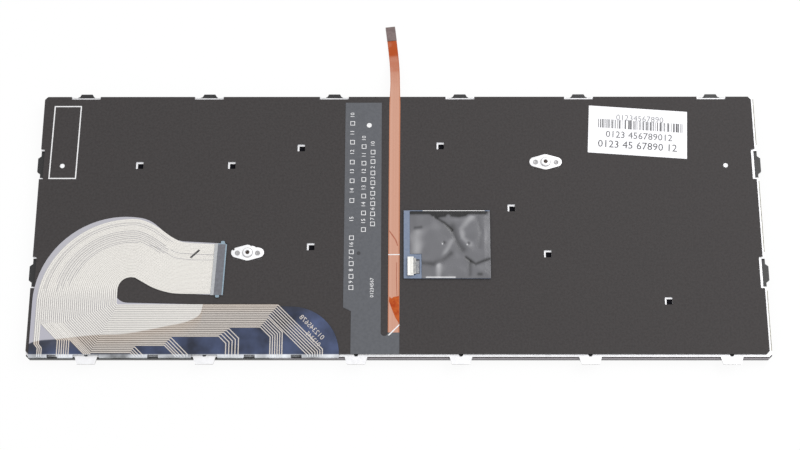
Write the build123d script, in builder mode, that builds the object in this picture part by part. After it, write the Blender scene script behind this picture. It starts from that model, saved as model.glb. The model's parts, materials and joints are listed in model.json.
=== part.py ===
from build123d import *
import math
import os

# Backlit laptop keyboard with a pointing stick, lying on its keycaps with its back up.
# Millimetres. X runs along the key rows, Y towards the function row, Z up from the keycap tops.

os.makedirs("parts", exist_ok=True)

# Key field: a short function row and five full rows, sixteen key units wide
key_pitch = 18.6
function_pitch = 12.5
key_gap = 3.2
arrow_gap = 1.6
side_margin = 3.2
end_margin = 4.25

# Keycaps: hollow, tapered towards the finger, corners bevelled
cap_height = 2.0
cap_roof = 0.9
cap_wall = 0.8
cap_corner = 1.0
cap_taper_angle = 8.0
cap_clearance = 0.5
key_travel = 1.5
press_room = 0.6

# Scissor pairs, rubber domes and stabiliser bars under the caps
scissor_width = 11.4
scissor_depth = 7.2
scissor_bar = 1.1
scissor_thickness = 0.6
scissor_clearance = 0.2
seat_gap = 0.1
dome_radius = 2.2
dome_sides = 4
bar_wire = 0.9
bar_sides = 4
bar_offset = 5.0
bar_arm = 6.5
bar_end_room = 2.2

# Sheets that make up the body, from the keys to the back
frame_face = 1.6
membrane_thickness = 0.3
plate_thickness = 0.5
guide_thickness = 0.4
film_thickness = 0.2
flex_thickness = 0.15
film_corner = 1.3
plate_bevel = 1.2
membrane_inset = 1.4
guide_inset = 1.5
guide_side_inset = 2.9
film_front_inset = 1.0
film_right_inset = 1.1

# Plastic hooks on the rear and side edges, and metal tabs on the front edge
rear_hook_places = (-134.3, -81.4, -27.7, 26.2, 77.1, 133.9)
side_hook_places = (26.3, -21.4)
hook_thickness = 1.4
rear_hook_width = 6.7
rear_hook_reach = 1.7
side_hook_length = 8.0
side_hook_reach = 1.3
hook_draft = 1.0
rear_notch_width = 11.0
rear_notch_depth = 0.45
side_notch_length = 12.1
side_notch_depth = 1.6
film_notch_room = 0.7
frame_lip = 0.7
tab_places = (-127.3, -79.1, -17.3, 25.4, 78.1, 135.6)
tab_root = 9.3
tab_tip = 7.3
tab_reach = 3.1
tab_bite = 1.0
tab_hole_radius = 1.0
tab_hole_sides = 6

# Square windows and round sight holes through the back
window_places = (
    (-109.7, 25.7), (-70.7, 25.7), (-41.4, 33.6), (-36.6, -10.3),
    (17.6, 34.5), (47.2, 6.7), (61.9, -13.4), (111.0, -33.6),
)
window_size = 3.1
plate_window_size = 2.4
sight_hole_places = ((-142.5, 25.5), (138.2, 25.7))
sight_hole_radius = 1.1

# Pointing stick: a strain-gauge post with a rubber cap, between three keys
stick_post = 2.2
stick_post_end = 1.2
stick_flange = 10.0
stick_cap_radius = 3.2
stick_cap_top = 0.4
stick_cap_length = 3.0
stick_fit = 0.05
stick_clearance = 0.4
stick_collar = 0.7
round_sides = 8
cap_sides = 12

# Board behind the stick, its tape and its cable connector
board_left_reach = 21.15
board_right_reach = 14.85
board_rear_reach = 20.85
board_front_reach = 8.65
board_thickness = 0.8
tape_thickness = 0.1
tape_left_inset = 2.5
tape_rear_inset = 0.3
connector_inset = 1.6
connector_front_inset = 1.1
connector_length = 7.9
connector_depth = 3.5
connector_height = 1.1
connector_wall = 0.3
latch_bar = 1.4
latch_travel = 1.0
latch_ear = 0.5
latch_tongue = 1.0
latch_clearance = 0.08
connector_room = 2.6

# Nut plates: two riveted lens-shaped plates with a threaded boss
nut_places = ((62.1, 27.1), (-62.8, -13.0))
nut_length = 14.0
nut_height = 7.2
nut_end_height = 4.1
nut_end_bevel = 1.4
nut_boss_radius = 1.8
nut_boss_sides = 12
nut_boss_height = 0.9
nut_bore_radius = 0.8
nut_bore_relief = 0.4
nut_rivet_spacing = 8.7
nut_rivet_radius = 1.0
nut_rivet_crown = 0.2
nut_clearance = 0.2

# Backlight flex with its LEDs, and the ribbon arm that a slot cuts free of it
flex_left = -22.8
flex_narrow_left = -19.6
flex_right = -7.3
flex_rear_inset = 2.8
flex_front_inset = 1.0
flex_step_height = 19.0
flex_step_slant = 1.6
flex_hole_inset = 5.3
flex_hole_drop = 10.4
ribbon_left = -4.4
ribbon_width = 4.7
ribbon_root_height = 10.0
ribbon_thickness = 0.15
led_count = 7
led_width = 1.4
led_length = 2.8
led_spacing = 13.4
led_height = 0.5
led_slot_room = 0.4

# Free end of the ribbon: off the rear edge, down to the table and along it, in Y and height
ribbon_edge_run = 8.0
ribbon_fall_run = 21.0
ribbon_end_run = 35.5
ribbon_end_height = 0.1
contact_length = 7.5
contact_thickness = 0.2

# Membrane tail: measured from the plate's left edge and front edge
tail_leg_inset = 1.3
tail_bend_height = 23.0
tail_bend_radius = 36.7
tail_bend_end_angle = 80.0
tail_eye_place = (40.6, 28.3)
tail_eye_radius = 5.8
tail_neck_run = 20.0
tail_neck_height = 48.8
tail_end_rear = (80.6, 47.9)
tail_end_front = (79.6, 25.7)
tail_neck_front = (62.0, 26.5)
tail_right_straight = 1.2
tail_right_end = 127.7
tail_right_radius = 19.7
tail_stiffener_length = 5.0
tail_stiffener_thickness = 0.25
fold_gap = 0.15
fold_slot_places = (-141.0, -100.0, -60.7, -41.6)
fold_slot_width = 4.4
fold_slot_bite = 0.7


# Rows of keys, each key as a name and a width in key units, from the Escape side onwards
def unit_keys(names):
    """Keys that are one unit wide."""
    return [(name, 1.0) for name in names]


function_row = [
    ("escape", 1.5), *unit_keys(f"f{number}" for number in range(1, 13)), ("insert", 1.0), ("delete", 1.5),
]
number_row = [
    ("grave", 1.0), *unit_keys("1234567890"), ("minus", 1.0), ("equals", 1.0),
    ("backspace", 2.0), ("home", 1.0),
]
upper_row = [
    ("tab", 1.5), *unit_keys("qwertyuiop"), ("open_bracket", 1.0), ("close_bracket", 1.0),
    ("backslash", 1.5), ("page_up", 1.0),
]
home_row = [
    ("caps_lock", 1.75), *unit_keys("asdfghjkl"), ("semicolon", 1.0), ("quote", 1.0),
    ("enter", 2.25), ("page_down", 1.0),
]
lower_row = [
    ("left_shift", 2.25), *unit_keys("zxcvbnm"), ("comma", 1.0), ("period", 1.0), ("slash", 1.0),
    ("right_shift", 2.75), ("end", 1.0),
]
space_row = [
    ("left_control", 1.25), ("function", 1.0), ("menu", 1.0), ("left_alt", 1.25), ("space", 6.0),
    ("right_alt", 1.25), ("right_control", 1.25), *unit_keys(("arrow_left", "arrow_pair", "arrow_right")),
]
rows = (function_row, number_row, upper_row, home_row, lower_row, space_row)

field_units = sum(units for name, units in function_row)
plate_width = field_units * key_pitch + 2 * side_margin
plate_depth = function_pitch + (len(rows) - 1) * key_pitch + 2 * end_margin
left = -plate_width / 2
right = plate_width / 2
front = -plate_depth / 2
rear = plate_depth / 2

# Heights of the sheets
membrane_bottom = cap_height + key_travel + press_room
plate_bottom = membrane_bottom + membrane_thickness
guide_bottom = plate_bottom + plate_thickness
film_bottom = guide_bottom + guide_thickness
back_face = film_bottom + film_thickness
board_face = back_face + board_thickness
under_cap = membrane_bottom - cap_roof

# Place and size of each cap at its rim: x, y, width, depth
keys = {}
row_rear = rear - end_margin
for row in rows:
    row_pitch = function_pitch if row is function_row else key_pitch
    column = right - side_margin
    for name, units in row:
        span = units * key_pitch
        keys[name] = (column - span / 2, row_rear - row_pitch / 2, span - key_gap, row_pitch - key_gap)
        column -= span
    row_rear -= row_pitch

# The up and down arrows share one key's place
pair_x, pair_y, pair_width, pair_depth = keys.pop("arrow_pair")
half_depth = (pair_depth - arrow_gap) / 2
half_shift = (half_depth + arrow_gap) / 2
keys["arrow_up"] = (pair_x, pair_y + half_shift, pair_width, half_depth)
keys["arrow_down"] = (pair_x, pair_y - half_shift, pair_width, half_depth)

half_keys = ("arrow_up", "arrow_down")
barred_keys = ("space", "enter", "backspace", "left_shift", "right_shift")
moving_keys = (
    *"qwertyuiopasdfghjklzxcvbnm", *barred_keys, "tab", "caps_lock", "arrow_left", "arrow_right", *half_keys,
)
fixed_key_names = [name for name in keys if name not in moving_keys]

# The stick stands where the G, H and B keys meet
stick_neighbours = ("g", "h", "b")
stick_x = (keys["g"][0] + keys["h"][0]) / 2
stick_y = keys["g"][1] - (keys["g"][3] + key_gap) / 2
stick_hole_radius = stick_cap_radius + stick_clearance
stick_collar_radius = stick_hole_radius + stick_collar
stick_notch_radius = stick_collar_radius + cap_clearance


def places_by_size(names):
    """Groups keys of one size, as {(width, depth): places}."""
    groups = {}
    for name in names:
        x, y, width, depth = keys[name]
        groups.setdefault((round(width, 6), round(depth, 6)), []).append((x, y))
    return groups


def tapered_cap(name):
    """Solid cap of a key, full size at its rim, with its sides drawn in towards the finger."""
    x, y, width, depth = keys[name]
    with BuildPart() as cap:
        with BuildSketch(Plane((x, y, 0))):
            Rectangle(width, depth)
            chamfer(vertices(), length=cap_corner)
        extrude(amount=cap_height)
        sides = [face for face in cap.faces() if abs(face.normal_at().Z) < 0.5]
        draft(sides, neutral_plane=Plane.XY.offset(cap_height), angle=-cap_taper_angle)
    return cap.part


def dome(name):
    """Size of the rubber dome under a key, which stands inside the inner scissor."""
    length = scissor_length(name)
    opening = (length - 2 * scissor_bar) * math.cos(math.radians(scissor_tilt(name)))
    return min(dome_radius, opening / 2 - scissor_clearance)


def scissor_length(name):
    """Length of a scissor's arms, which fit inside the cap."""
    return min(scissor_depth, keys[name][3] - 2 * (cap_wall + 2 * scissor_clearance))


def scissor_tilt(name):
    """Angle at which the arms reach from the membrane to the cap's roof."""
    return math.degrees(math.asin((under_cap - 2 * seat_gap - scissor_thickness) / scissor_length(name)))


def scissor_plane(name, tilt):
    """Plane of one scissor frame, turned about the pivot half way up."""
    x, y, width, depth = keys[name]
    return Plane(origin=(x, y, (cap_roof + membrane_bottom) / 2)).rotated((tilt, 0, 0))


def scissor_frames(names, width, tilt_sign):
    """Outlines of tilted frames of one width, one under each named key of the same depth."""
    length = scissor_length(names[0])
    tilt = tilt_sign * scissor_tilt(names[0])
    with BuildSketch(*[scissor_plane(name, tilt) for name in names]) as frames:
        Rectangle(width, length)
        Rectangle(width - 2 * scissor_bar, length - 2 * scissor_bar, mode=Mode.SUBTRACT)
    return frames.sketch


def from_corner(place):
    """A point given from the plate's left edge and front edge."""
    return (left + place[0], front + place[1])


def cut_windows(size):
    """Square windows in a sheet of the back, which share one corner in every sheet."""
    shift = (window_size - size) / 2
    with Locations(*[(x + shift, y - shift) for x, y in window_places]):
        Rectangle(size, size, mode=Mode.SUBTRACT)


def cut_edge_notches(room, right_inset):
    """Notches in a sheet's rear and side edges, over the frame's hooks."""
    with Locations(*[(x, rear) for x in rear_hook_places]):
        Rectangle(rear_notch_width + 2 * room, 2 * (rear_notch_depth + room), mode=Mode.SUBTRACT)
    for side, depth in ((left, side_notch_depth), (right, side_notch_depth + right_inset)):
        with Locations(*[(side, y) for y in side_hook_places]):
            Rectangle(2 * depth, side_notch_length + 2 * room, mode=Mode.SUBTRACT)


def nut_outline(grow):
    """Lens-shaped outline of a nut plate, with bevelled ends."""
    half = nut_length / 2 + grow
    peak = nut_height / 2 + grow
    end = nut_end_height / 2 + grow
    with BuildSketch(mode=Mode.PRIVATE) as lens:
        Polygon((-half, -end), (0, -peak), (half, -end), (half, end), (0, peak), (-half, end), align=None)
        ends = [corner for corner in lens.vertices() if abs(corner.X) > nut_length / 4]
        chamfer(ends, length=nut_end_bevel)
    return lens.sketch


# Key frame: one moulding, a grille round the caps with a collar for the stick, hooks on its edges
# and a lip along its front
with BuildPart() as key_frame:
    with BuildSketch(Plane.XY.offset(frame_face)):
        with Locations((0, rear)):
            Rectangle(plate_width, plate_depth + frame_lip, align=(Align.CENTER, Align.MAX))
        chamfer(vertices(), length=plate_bevel)
        for (width, depth), places in places_by_size(keys).items():
            with Locations(*places):
                Rectangle(width + 2 * cap_clearance, depth + 2 * cap_clearance, mode=Mode.SUBTRACT)
        with Locations((stick_x, stick_y)):
            RegularPolygon(stick_collar_radius, round_sides)
            RegularPolygon(stick_hole_radius, round_sides, mode=Mode.SUBTRACT)
    extrude(amount=membrane_bottom - frame_face)
    hook_bottom = membrane_bottom - hook_thickness
    with BuildSketch(Plane.XY.offset(hook_bottom)):
        for x in rear_hook_places:
            root = rear_hook_width / 2
            tip = root - hook_draft
            Polygon(
                (x - root, rear - rear_hook_reach), (x + root, rear - rear_hook_reach), (x + root, rear),
                (x + tip, rear + rear_hook_reach), (x - tip, rear + rear_hook_reach), (x - root, rear),
                align=None,
            )
        for side in (-1, 1):
            for y in side_hook_places:
                root = side_hook_length / 2
                tip = root - hook_draft
                edge = side * right
                reach = edge + side * side_hook_reach
                inner = edge - side * side_hook_reach
                Polygon(
                    (inner, y - root), (edge, y - root), (reach, y - tip),
                    (reach, y + tip), (edge, y + root), (inner, y + root), align=None,
                )
    extrude(amount=hook_thickness)
key_frame.part.label = "key_frame"
export_step(key_frame.part, "parts/key_frame.step")


# Moving keycaps: hollow caps, three of them notched round the stick
for name in moving_keys:
    x, y, width, depth = keys[name]
    solid_cap = tapered_cap(name)
    with BuildPart() as keycap:
        add(solid_cap)
        with BuildSketch(Plane.XY.offset(cap_roof)):
            with Locations((x, y)):
                Rectangle(width - 2 * cap_wall, depth - 2 * cap_wall)
            if name in stick_neighbours:
                with Locations((stick_x, stick_y)):
                    RegularPolygon(stick_notch_radius + cap_wall, round_sides, mode=Mode.SUBTRACT)
        extrude(amount=cap_height - cap_roof, mode=Mode.SUBTRACT)
        if name in stick_neighbours:
            with BuildSketch(Plane((stick_x, stick_y, 0))):
                RegularPolygon(stick_notch_radius, round_sides)
            extrude(amount=cap_height, mode=Mode.SUBTRACT)
    keycap.part.label = f"key_{name}"
    export_step(keycap.part, f"parts/key_{name}.step")


# The other keys: each cap is in one with the dome that carries it
fixed_caps = [tapered_cap(name) for name in fixed_key_names]
with BuildPart() as fixed_keys:
    add(fixed_caps)
    with BuildSketch(Plane.XY.offset(cap_height)):
        with Locations(*[keys[name][:2] for name in fixed_key_names]):
            RegularPolygon(dome_radius, dome_sides)
    extrude(amount=membrane_bottom - cap_height)
fixed_keys.part.label = "fixed_keys"
export_step(fixed_keys.part, "parts/fixed_keys.step")


# Rubber domes under the moving keys
with BuildPart() as rubber_domes:
    with BuildSketch(Plane.XY.offset(cap_roof + seat_gap)):
        for name in moving_keys:
            with Locations(keys[name][:2]):
                RegularPolygon(dome(name), dome_sides)
    extrude(amount=under_cap - seat_gap)
rubber_domes.part.label = "rubber_domes"
export_step(rubber_domes.part, "parts/rubber_domes.step")


# Scissor pairs: an outer frame and an inner one that crosses it
full_keys = [name for name in moving_keys if name not in half_keys]
inner_scissor_width = scissor_width - 2 * (scissor_bar + scissor_clearance)
with BuildPart() as outer_scissors:
    extrude(scissor_frames(full_keys, scissor_width, 1), amount=scissor_thickness / 2, both=True)
    extrude(scissor_frames(half_keys, scissor_width, 1), amount=scissor_thickness / 2, both=True)
outer_scissors.part.label = "outer_scissors"
export_step(outer_scissors.part, "parts/outer_scissors.step")

with BuildPart() as inner_scissors:
    extrude(scissor_frames(full_keys, inner_scissor_width, -1), amount=scissor_thickness / 2, both=True)
    extrude(scissor_frames(half_keys, inner_scissor_width, -1), amount=scissor_thickness / 2, both=True)
inner_scissors.part.label = "inner_scissors"
export_step(inner_scissors.part, "parts/inner_scissors.step")


# Stabiliser bars: bent wires from the roof of each wide key down to the membrane
with BuildPart() as stabiliser_bars:
    bar_high = cap_roof + seat_gap + bar_wire / 2
    bar_low = membrane_bottom - seat_gap - bar_wire / 2
    for name in barred_keys:
        x, y, width, depth = keys[name]
        end = width / 2 - bar_end_room
        with BuildLine() as wire:
            Polyline(
                (x - end, y + bar_offset - bar_arm, bar_low), (x - end, y + bar_offset, bar_high),
                (x + end, y + bar_offset, bar_high), (x + end, y + bar_offset - bar_arm, bar_low),
            )
        with BuildSketch(Plane(origin=wire.line @ 0, z_dir=wire.line % 0)):
            RegularPolygon(bar_wire / 2, bar_sides)
        sweep(transition=Transition.RIGHT)
stabiliser_bars.part.label = "stabiliser_bars"
export_step(stabiliser_bars.part, "parts/stabiliser_bars.step")


# Membrane: one sheet of circuit film between the frame and the plate. Along the front its edge
# folds round the plate, and on the back it becomes the tail that loops round to its end.
fold_left = left + tail_leg_inset
fold_right = left + tail_right_end
tail_top = back_face + membrane_thickness
with BuildPart() as membrane:
    with BuildSketch(Plane.XY.offset(membrane_bottom)):
        Rectangle(plate_width - 2 * membrane_inset, plate_depth - 2 * membrane_inset)
        with Locations((stick_x, stick_y)):
            RegularPolygon(stick_hole_radius, round_sides, mode=Mode.SUBTRACT)
    extrude(amount=membrane_thickness)
    with BuildSketch(Plane.YZ.offset(fold_left)):
        fold_inner = front - fold_gap
        fold_outer = fold_inner - membrane_thickness
        root = front + 2 * membrane_inset
        Polygon(
            (root, membrane_bottom), (fold_outer, membrane_bottom), (fold_outer, tail_top), (root, tail_top),
            (root, back_face), (fold_inner, back_face), (fold_inner, plate_bottom), (root, plate_bottom),
            align=None,
        )
    extrude(amount=fold_right - fold_left)
    bend_x = fold_left + tail_bend_radius
    bend_y = front + tail_bend_height
    eye_x, eye_y = from_corner(tail_eye_place)
    strip_rear = front + tail_right_straight + tail_right_radius
    end_angle = math.radians(tail_bend_end_angle)
    bend_end = (
        bend_x + tail_bend_radius * math.cos(end_angle),
        bend_y + tail_bend_radius * math.sin(end_angle),
    )
    neck_rear = (bend_end[0] + tail_neck_run, front + tail_neck_height)
    with BuildSketch(Plane.XY.offset(back_face)):
        with BuildLine():
            Line((fold_left, front), (bend_x - tail_bend_radius, bend_y))
            CenterArc((bend_x, bend_y), tail_bend_radius, 180, tail_bend_end_angle - 180)
            Spline(
                bend_end, neck_rear,
                tangents=((math.sin(end_angle), -math.cos(end_angle)), (1, 0)),
            )
            Polyline(
                neck_rear, from_corner(tail_end_rear),
                from_corner(tail_end_front), from_corner(tail_neck_front),
            )
            Spline(
                from_corner(tail_neck_front), (eye_x, eye_y + tail_eye_radius), tangents=((-1, 0), (-1, 0)),
            )
            CenterArc((eye_x, eye_y), tail_eye_radius, 90, 180)
            strip = Line((eye_x, eye_y - tail_eye_radius), (fold_right - tail_right_radius, strip_rear))
            ThreePointArc(
                strip @ 1,
                (
                    fold_right - tail_right_radius * (1 - math.sqrt(0.5)),
                    strip_rear - tail_right_radius * (1 - math.sqrt(0.5)),
                ),
                (fold_right, strip_rear - tail_right_radius),
            )
            Polyline((fold_right, strip_rear - tail_right_radius), (fold_right, front), (fold_left, front))
        make_face()
    extrude(amount=membrane_thickness)
    fold_height = tail_top - membrane_bottom
    fold_middle = (tail_top + membrane_bottom) / 2
    with Locations(*[(x, front, fold_middle) for x in tab_places]):
        Box(tab_root + 2 * fold_slot_bite, 2 * fold_slot_bite, 2 * fold_height, mode=Mode.SUBTRACT)
    with Locations(*[(x, front, tail_top) for x in fold_slot_places]):
        Box(fold_slot_width, 2 * fold_slot_bite, fold_height, mode=Mode.SUBTRACT)
membrane.part.label = "membrane"
export_step(membrane.part, "parts/membrane.step")


# Stiffener on the tail's end, where the laptop's connector grips it
with BuildPart() as tail_stiffener:
    with BuildSketch(Plane.XY.offset(tail_top)):
        rear_x, rear_y = from_corner(tail_end_rear)
        front_x, front_y = from_corner(tail_end_front)
        Polygon(
            (rear_x - tail_stiffener_length, rear_y), (rear_x, rear_y),
            (front_x, front_y), (front_x - tail_stiffener_length, front_y), align=None,
        )
    extrude(amount=tail_stiffener_thickness)
tail_stiffener.part.label = "tail_stiffener"
export_step(tail_stiffener.part, "parts/tail_stiffener.step")


# Base plate: stamped metal with tabs and holes along the front edge and notches over the frame's hooks
with BuildPart() as base_plate:
    with BuildSketch(Plane.XY.offset(plate_bottom)):
        Rectangle(plate_width, plate_depth)
        chamfer(vertices(), length=plate_bevel)
        for x in tab_places:
            Polygon(
                (x - tab_root / 2, front + tab_bite), (x - tab_root / 2, front),
                (x - tab_tip / 2, front - tab_reach), (x + tab_tip / 2, front - tab_reach),
                (x + tab_root / 2, front), (x + tab_root / 2, front + tab_bite), align=None,
            )
        cut_edge_notches(0, 0)
        cut_windows(plate_window_size)
        with Locations(*[(x, front) for x in fold_slot_places]):
            Rectangle(fold_slot_width, 2 * fold_slot_bite, mode=Mode.SUBTRACT)
        with Locations(*[(x, front + film_front_inset) for x in tab_places]):
            RegularPolygon(tab_hole_radius, tab_hole_sides, mode=Mode.SUBTRACT)
        with Locations(*nut_places):
            RegularPolygon(nut_bore_radius + nut_bore_relief, round_sides, mode=Mode.SUBTRACT)
        with Locations((stick_x, stick_y)):
            RegularPolygon(stick_post, round_sides, mode=Mode.SUBTRACT)
    extrude(amount=plate_thickness)
base_plate.part.label = "base_plate"
export_step(base_plate.part, "parts/base_plate.step")


def cut_back_openings():
    """Openings that the light guide and the back film share."""
    cut_windows(window_size)
    with Locations((stick_x, stick_y)):
        flange_hole = stick_flange + 2 * stick_clearance
        Rectangle(flange_hole, flange_hole, mode=Mode.SUBTRACT)
    with Locations((led_x, led_y)):
        Rectangle(led_width + 2 * led_slot_room, led_row + 2 * led_slot_room, mode=Mode.SUBTRACT)


led_x = (flex_narrow_left + flex_right) / 2
led_y = (front + rear) / 2
led_row = (led_count - 1) * led_spacing + led_length

# Light guide: clear sheet that spreads the LEDs' light under the keys
with BuildPart() as light_guide:
    with BuildSketch(Plane.XY.offset(guide_bottom)):
        Rectangle(plate_width - 2 * guide_side_inset, plate_depth - 2 * guide_inset)
        cut_back_openings()
        with Locations(*nut_places):
            Rectangle(nut_length + 2 * nut_clearance, nut_height + 2 * nut_clearance, mode=Mode.SUBTRACT)
    extrude(amount=guide_thickness)
light_guide.part.label = "light_guide"
export_step(light_guide.part, "parts/light_guide.step")


# Back film: dark sheet that closes the back, short of the plate's right and front edges
with BuildPart() as back_film:
    film_width = plate_width - film_right_inset
    film_depth = plate_depth - film_front_inset
    with BuildSketch(Plane.XY.offset(film_bottom)):
        with Locations((left + film_width / 2, rear - film_depth / 2)):
            Rectangle(film_width, film_depth)
        chamfer(vertices(), length=film_corner)
        cut_edge_notches(film_notch_room, film_right_inset)
        cut_back_openings()
        with Locations(*nut_places):
            add(nut_outline(nut_clearance), mode=Mode.SUBTRACT)
        with Locations(*sight_hole_places):
            RegularPolygon(sight_hole_radius, round_sides, mode=Mode.SUBTRACT)
    extrude(amount=film_thickness)
back_film.part.label = "back_film"
export_step(back_film.part, "parts/back_film.step")


# Backlight flex: the strip that carries the LEDs, with a slot that frees the ribbon's root
with BuildPart() as led_flex:
    ribbon_right = ribbon_left + ribbon_width
    ribbon_root = front + ribbon_root_height
    slot_radius = (ribbon_left - flex_right) / 2
    flex_rear = rear - flex_rear_inset
    flex_front = front + flex_front_inset
    step_y = front + flex_step_height
    with BuildSketch(Plane.XY.offset(back_face)):
        with BuildLine():
            Polyline(
                (ribbon_left, ribbon_root), (ribbon_right, ribbon_root), (ribbon_right, flex_front),
                (flex_narrow_left, flex_front), (flex_narrow_left, step_y), (flex_left, step_y + flex_step_slant),
                (flex_left, flex_rear), (flex_right, flex_rear), (flex_right, ribbon_root),
            )
            CenterArc((flex_right + slot_radius, ribbon_root), slot_radius, 180, 180)
        make_face()
        with Locations((flex_right - flex_hole_inset, flex_rear - flex_hole_drop)):
            RegularPolygon(sight_hole_radius, round_sides, mode=Mode.SUBTRACT)
    extrude(amount=flex_thickness)
led_flex.part.label = "led_flex"
export_step(led_flex.part, "parts/led_flex.step")


# LEDs on the flex's underside, standing in a slot of the light guide
with BuildPart() as leds:
    with BuildSketch(Plane.XY.offset(back_face - led_height)):
        with Locations((led_x, led_y)):
            with GridLocations(0, led_spacing, 1, led_count):
                Rectangle(led_width, led_length)
    extrude(amount=led_height)
leds.part.label = "leds"
export_step(leds.part, "parts/leds.step")


# Backlight ribbon: flat on the film to the rear edge, then down to the table in two easy bends
ribbon_route = (
    (front + ribbon_root_height, back_face + ribbon_thickness / 2),
    (rear + ribbon_edge_run, back_face + ribbon_thickness / 2),
    (rear + ribbon_fall_run, ribbon_end_height + ribbon_thickness / 2),
    (rear + ribbon_end_run, ribbon_end_height + ribbon_thickness / 2),
)
ribbon_runs = [math.dist(a, b) for a, b in zip(ribbon_route, ribbon_route[1:])]
ribbon_fall = math.atan2(ribbon_route[1][1] - ribbon_route[2][1], ribbon_route[2][0] - ribbon_route[1][0])
bend_share = 0.45
ribbon_radii = [
    bend_share * min(before, after) / math.tan(ribbon_fall / 2)
    for before, after in zip(ribbon_runs, ribbon_runs[1:])
]
print("ribbon bend radii", [round(radius, 1) for radius in ribbon_radii])
with BuildPart() as backlight_ribbon:
    with BuildLine(Plane.YZ.offset(ribbon_left)) as ribbon_path:
        FilletPolyline(*ribbon_route, radius=ribbon_radii)
    with BuildSketch(Plane(origin=ribbon_path.line @ 0, x_dir=(1, 0, 0), z_dir=(0, 1, 0))):
        with Locations((ribbon_width / 2, 0)):
            Rectangle(ribbon_width, ribbon_thickness)
    sweep(path=ribbon_path.line)
print("ribbon length", round(sum(edge.length for edge in ribbon_path.edges()), 2))
backlight_ribbon.part.label = "backlight_ribbon"
export_step(backlight_ribbon.part, "parts/backlight_ribbon.step")


# Stiffened contact end of the ribbon
with BuildPart() as ribbon_stiffener:
    contact_face = ribbon_end_height + ribbon_thickness
    with BuildSketch(Plane.XY.offset(contact_face)):
        with Locations((ribbon_left + ribbon_width / 2, rear + ribbon_end_run - contact_length / 2)):
            Rectangle(ribbon_width, contact_length)
    extrude(amount=contact_thickness)
ribbon_stiffener.part.label = "ribbon_stiffener"
export_step(ribbon_stiffener.part, "parts/ribbon_stiffener.step")


# Nut plates: flush in the film's openings, each with a threaded boss
rivet_shifts = (-nut_rivet_spacing / 2, nut_rivet_spacing / 2)
rivet_places = [(x + shift, y) for x, y in nut_places for shift in rivet_shifts]
with BuildPart() as nut_plates:
    with BuildSketch(Plane.XY.offset(guide_bottom)):
        with Locations(*nut_places):
            add(nut_outline(0))
    extrude(amount=back_face - guide_bottom)
    with BuildSketch(Plane.XY.offset(back_face)):
        with Locations(*nut_places):
            RegularPolygon(nut_boss_radius, nut_boss_sides)
    extrude(amount=nut_boss_height)
    with BuildSketch(Plane.XY.offset(guide_bottom)):
        with Locations(*nut_places):
            Circle(nut_bore_radius)
    extrude(amount=back_face + nut_boss_height - guide_bottom, mode=Mode.SUBTRACT)
nut_plates.part.label = "nut_plates"
export_step(nut_plates.part, "parts/nut_plates.step")


# Heads of the rivets that hold the nut plates to the base plate
with BuildPart() as plate_rivets:
    with BuildSketch(Plane.XY.offset(back_face)):
        with Locations(*rivet_places):
            RegularPolygon(nut_rivet_radius, round_sides)
    extrude(amount=nut_rivet_crown)
plate_rivets.part.label = "plate_rivets"
export_step(plate_rivets.part, "parts/plate_rivets.step")


# Stick sensor: a flange against the plate's back and a post that reaches through to the keys
with BuildPart() as stick_sensor:
    with BuildSketch(Plane((stick_x, stick_y, guide_bottom))):
        Rectangle(stick_flange, stick_flange)
    extrude(amount=back_face - guide_bottom)
    with BuildSketch(Plane((stick_x, stick_y, stick_post_end))):
        Rectangle(stick_post, stick_post)
    extrude(amount=guide_bottom - stick_post_end)
stick_sensor.part.label = "stick_sensor"
export_step(stick_sensor.part, "parts/stick_sensor.step")


# Stick cap: soft rubber, pushed on the post
with BuildPart() as stick_cap:
    with BuildSketch(Plane((stick_x, stick_y, stick_cap_top))):
        RegularPolygon(stick_cap_radius, cap_sides)
    extrude(amount=stick_cap_length)
    with BuildSketch(Plane((stick_x, stick_y, stick_post_end - stick_fit))):
        Rectangle(stick_post + 2 * stick_fit, stick_post + 2 * stick_fit)
    extrude(amount=stick_cap_length, mode=Mode.SUBTRACT)
stick_cap.part.label = "stick_cap"
export_step(stick_cap.part, "parts/stick_cap.step")


# Stick board: circuit board on the film, behind the stick
board_left = stick_x - board_left_reach
board_right = stick_x + board_right_reach
board_rear = stick_y + board_rear_reach
board_front = stick_y - board_front_reach
with BuildPart() as stick_board:
    with BuildSketch(Plane.XY.offset(back_face)):
        with Locations(((board_left + board_right) / 2, (board_front + board_rear) / 2)):
            Rectangle(board_right - board_left, board_rear - board_front)
    extrude(amount=board_thickness)
stick_board.part.label = "stick_board"
export_step(stick_board.part, "parts/stick_board.step")


# Tape over the board's parts, cut away round the connector
connector_left = board_left + connector_inset
connector_front = board_front + connector_front_inset
connector_rear = connector_front + connector_length
tape_notch_x = connector_left + connector_depth + connector_room
with BuildPart() as board_tape:
    with BuildSketch(Plane.XY.offset(board_face)):
        tape_left = board_left + tape_left_inset
        tape_rear = board_rear - tape_rear_inset
        Polygon(
            (tape_left, tape_rear), (tape_left, connector_rear + connector_inset),
            (tape_notch_x, connector_rear + connector_inset), (tape_notch_x, board_front),
            (board_right, board_front), (board_right, tape_rear), align=None,
        )
    extrude(amount=tape_thickness)
board_tape.part.label = "board_tape"
export_step(board_tape.part, "parts/board_tape.step")


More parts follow.
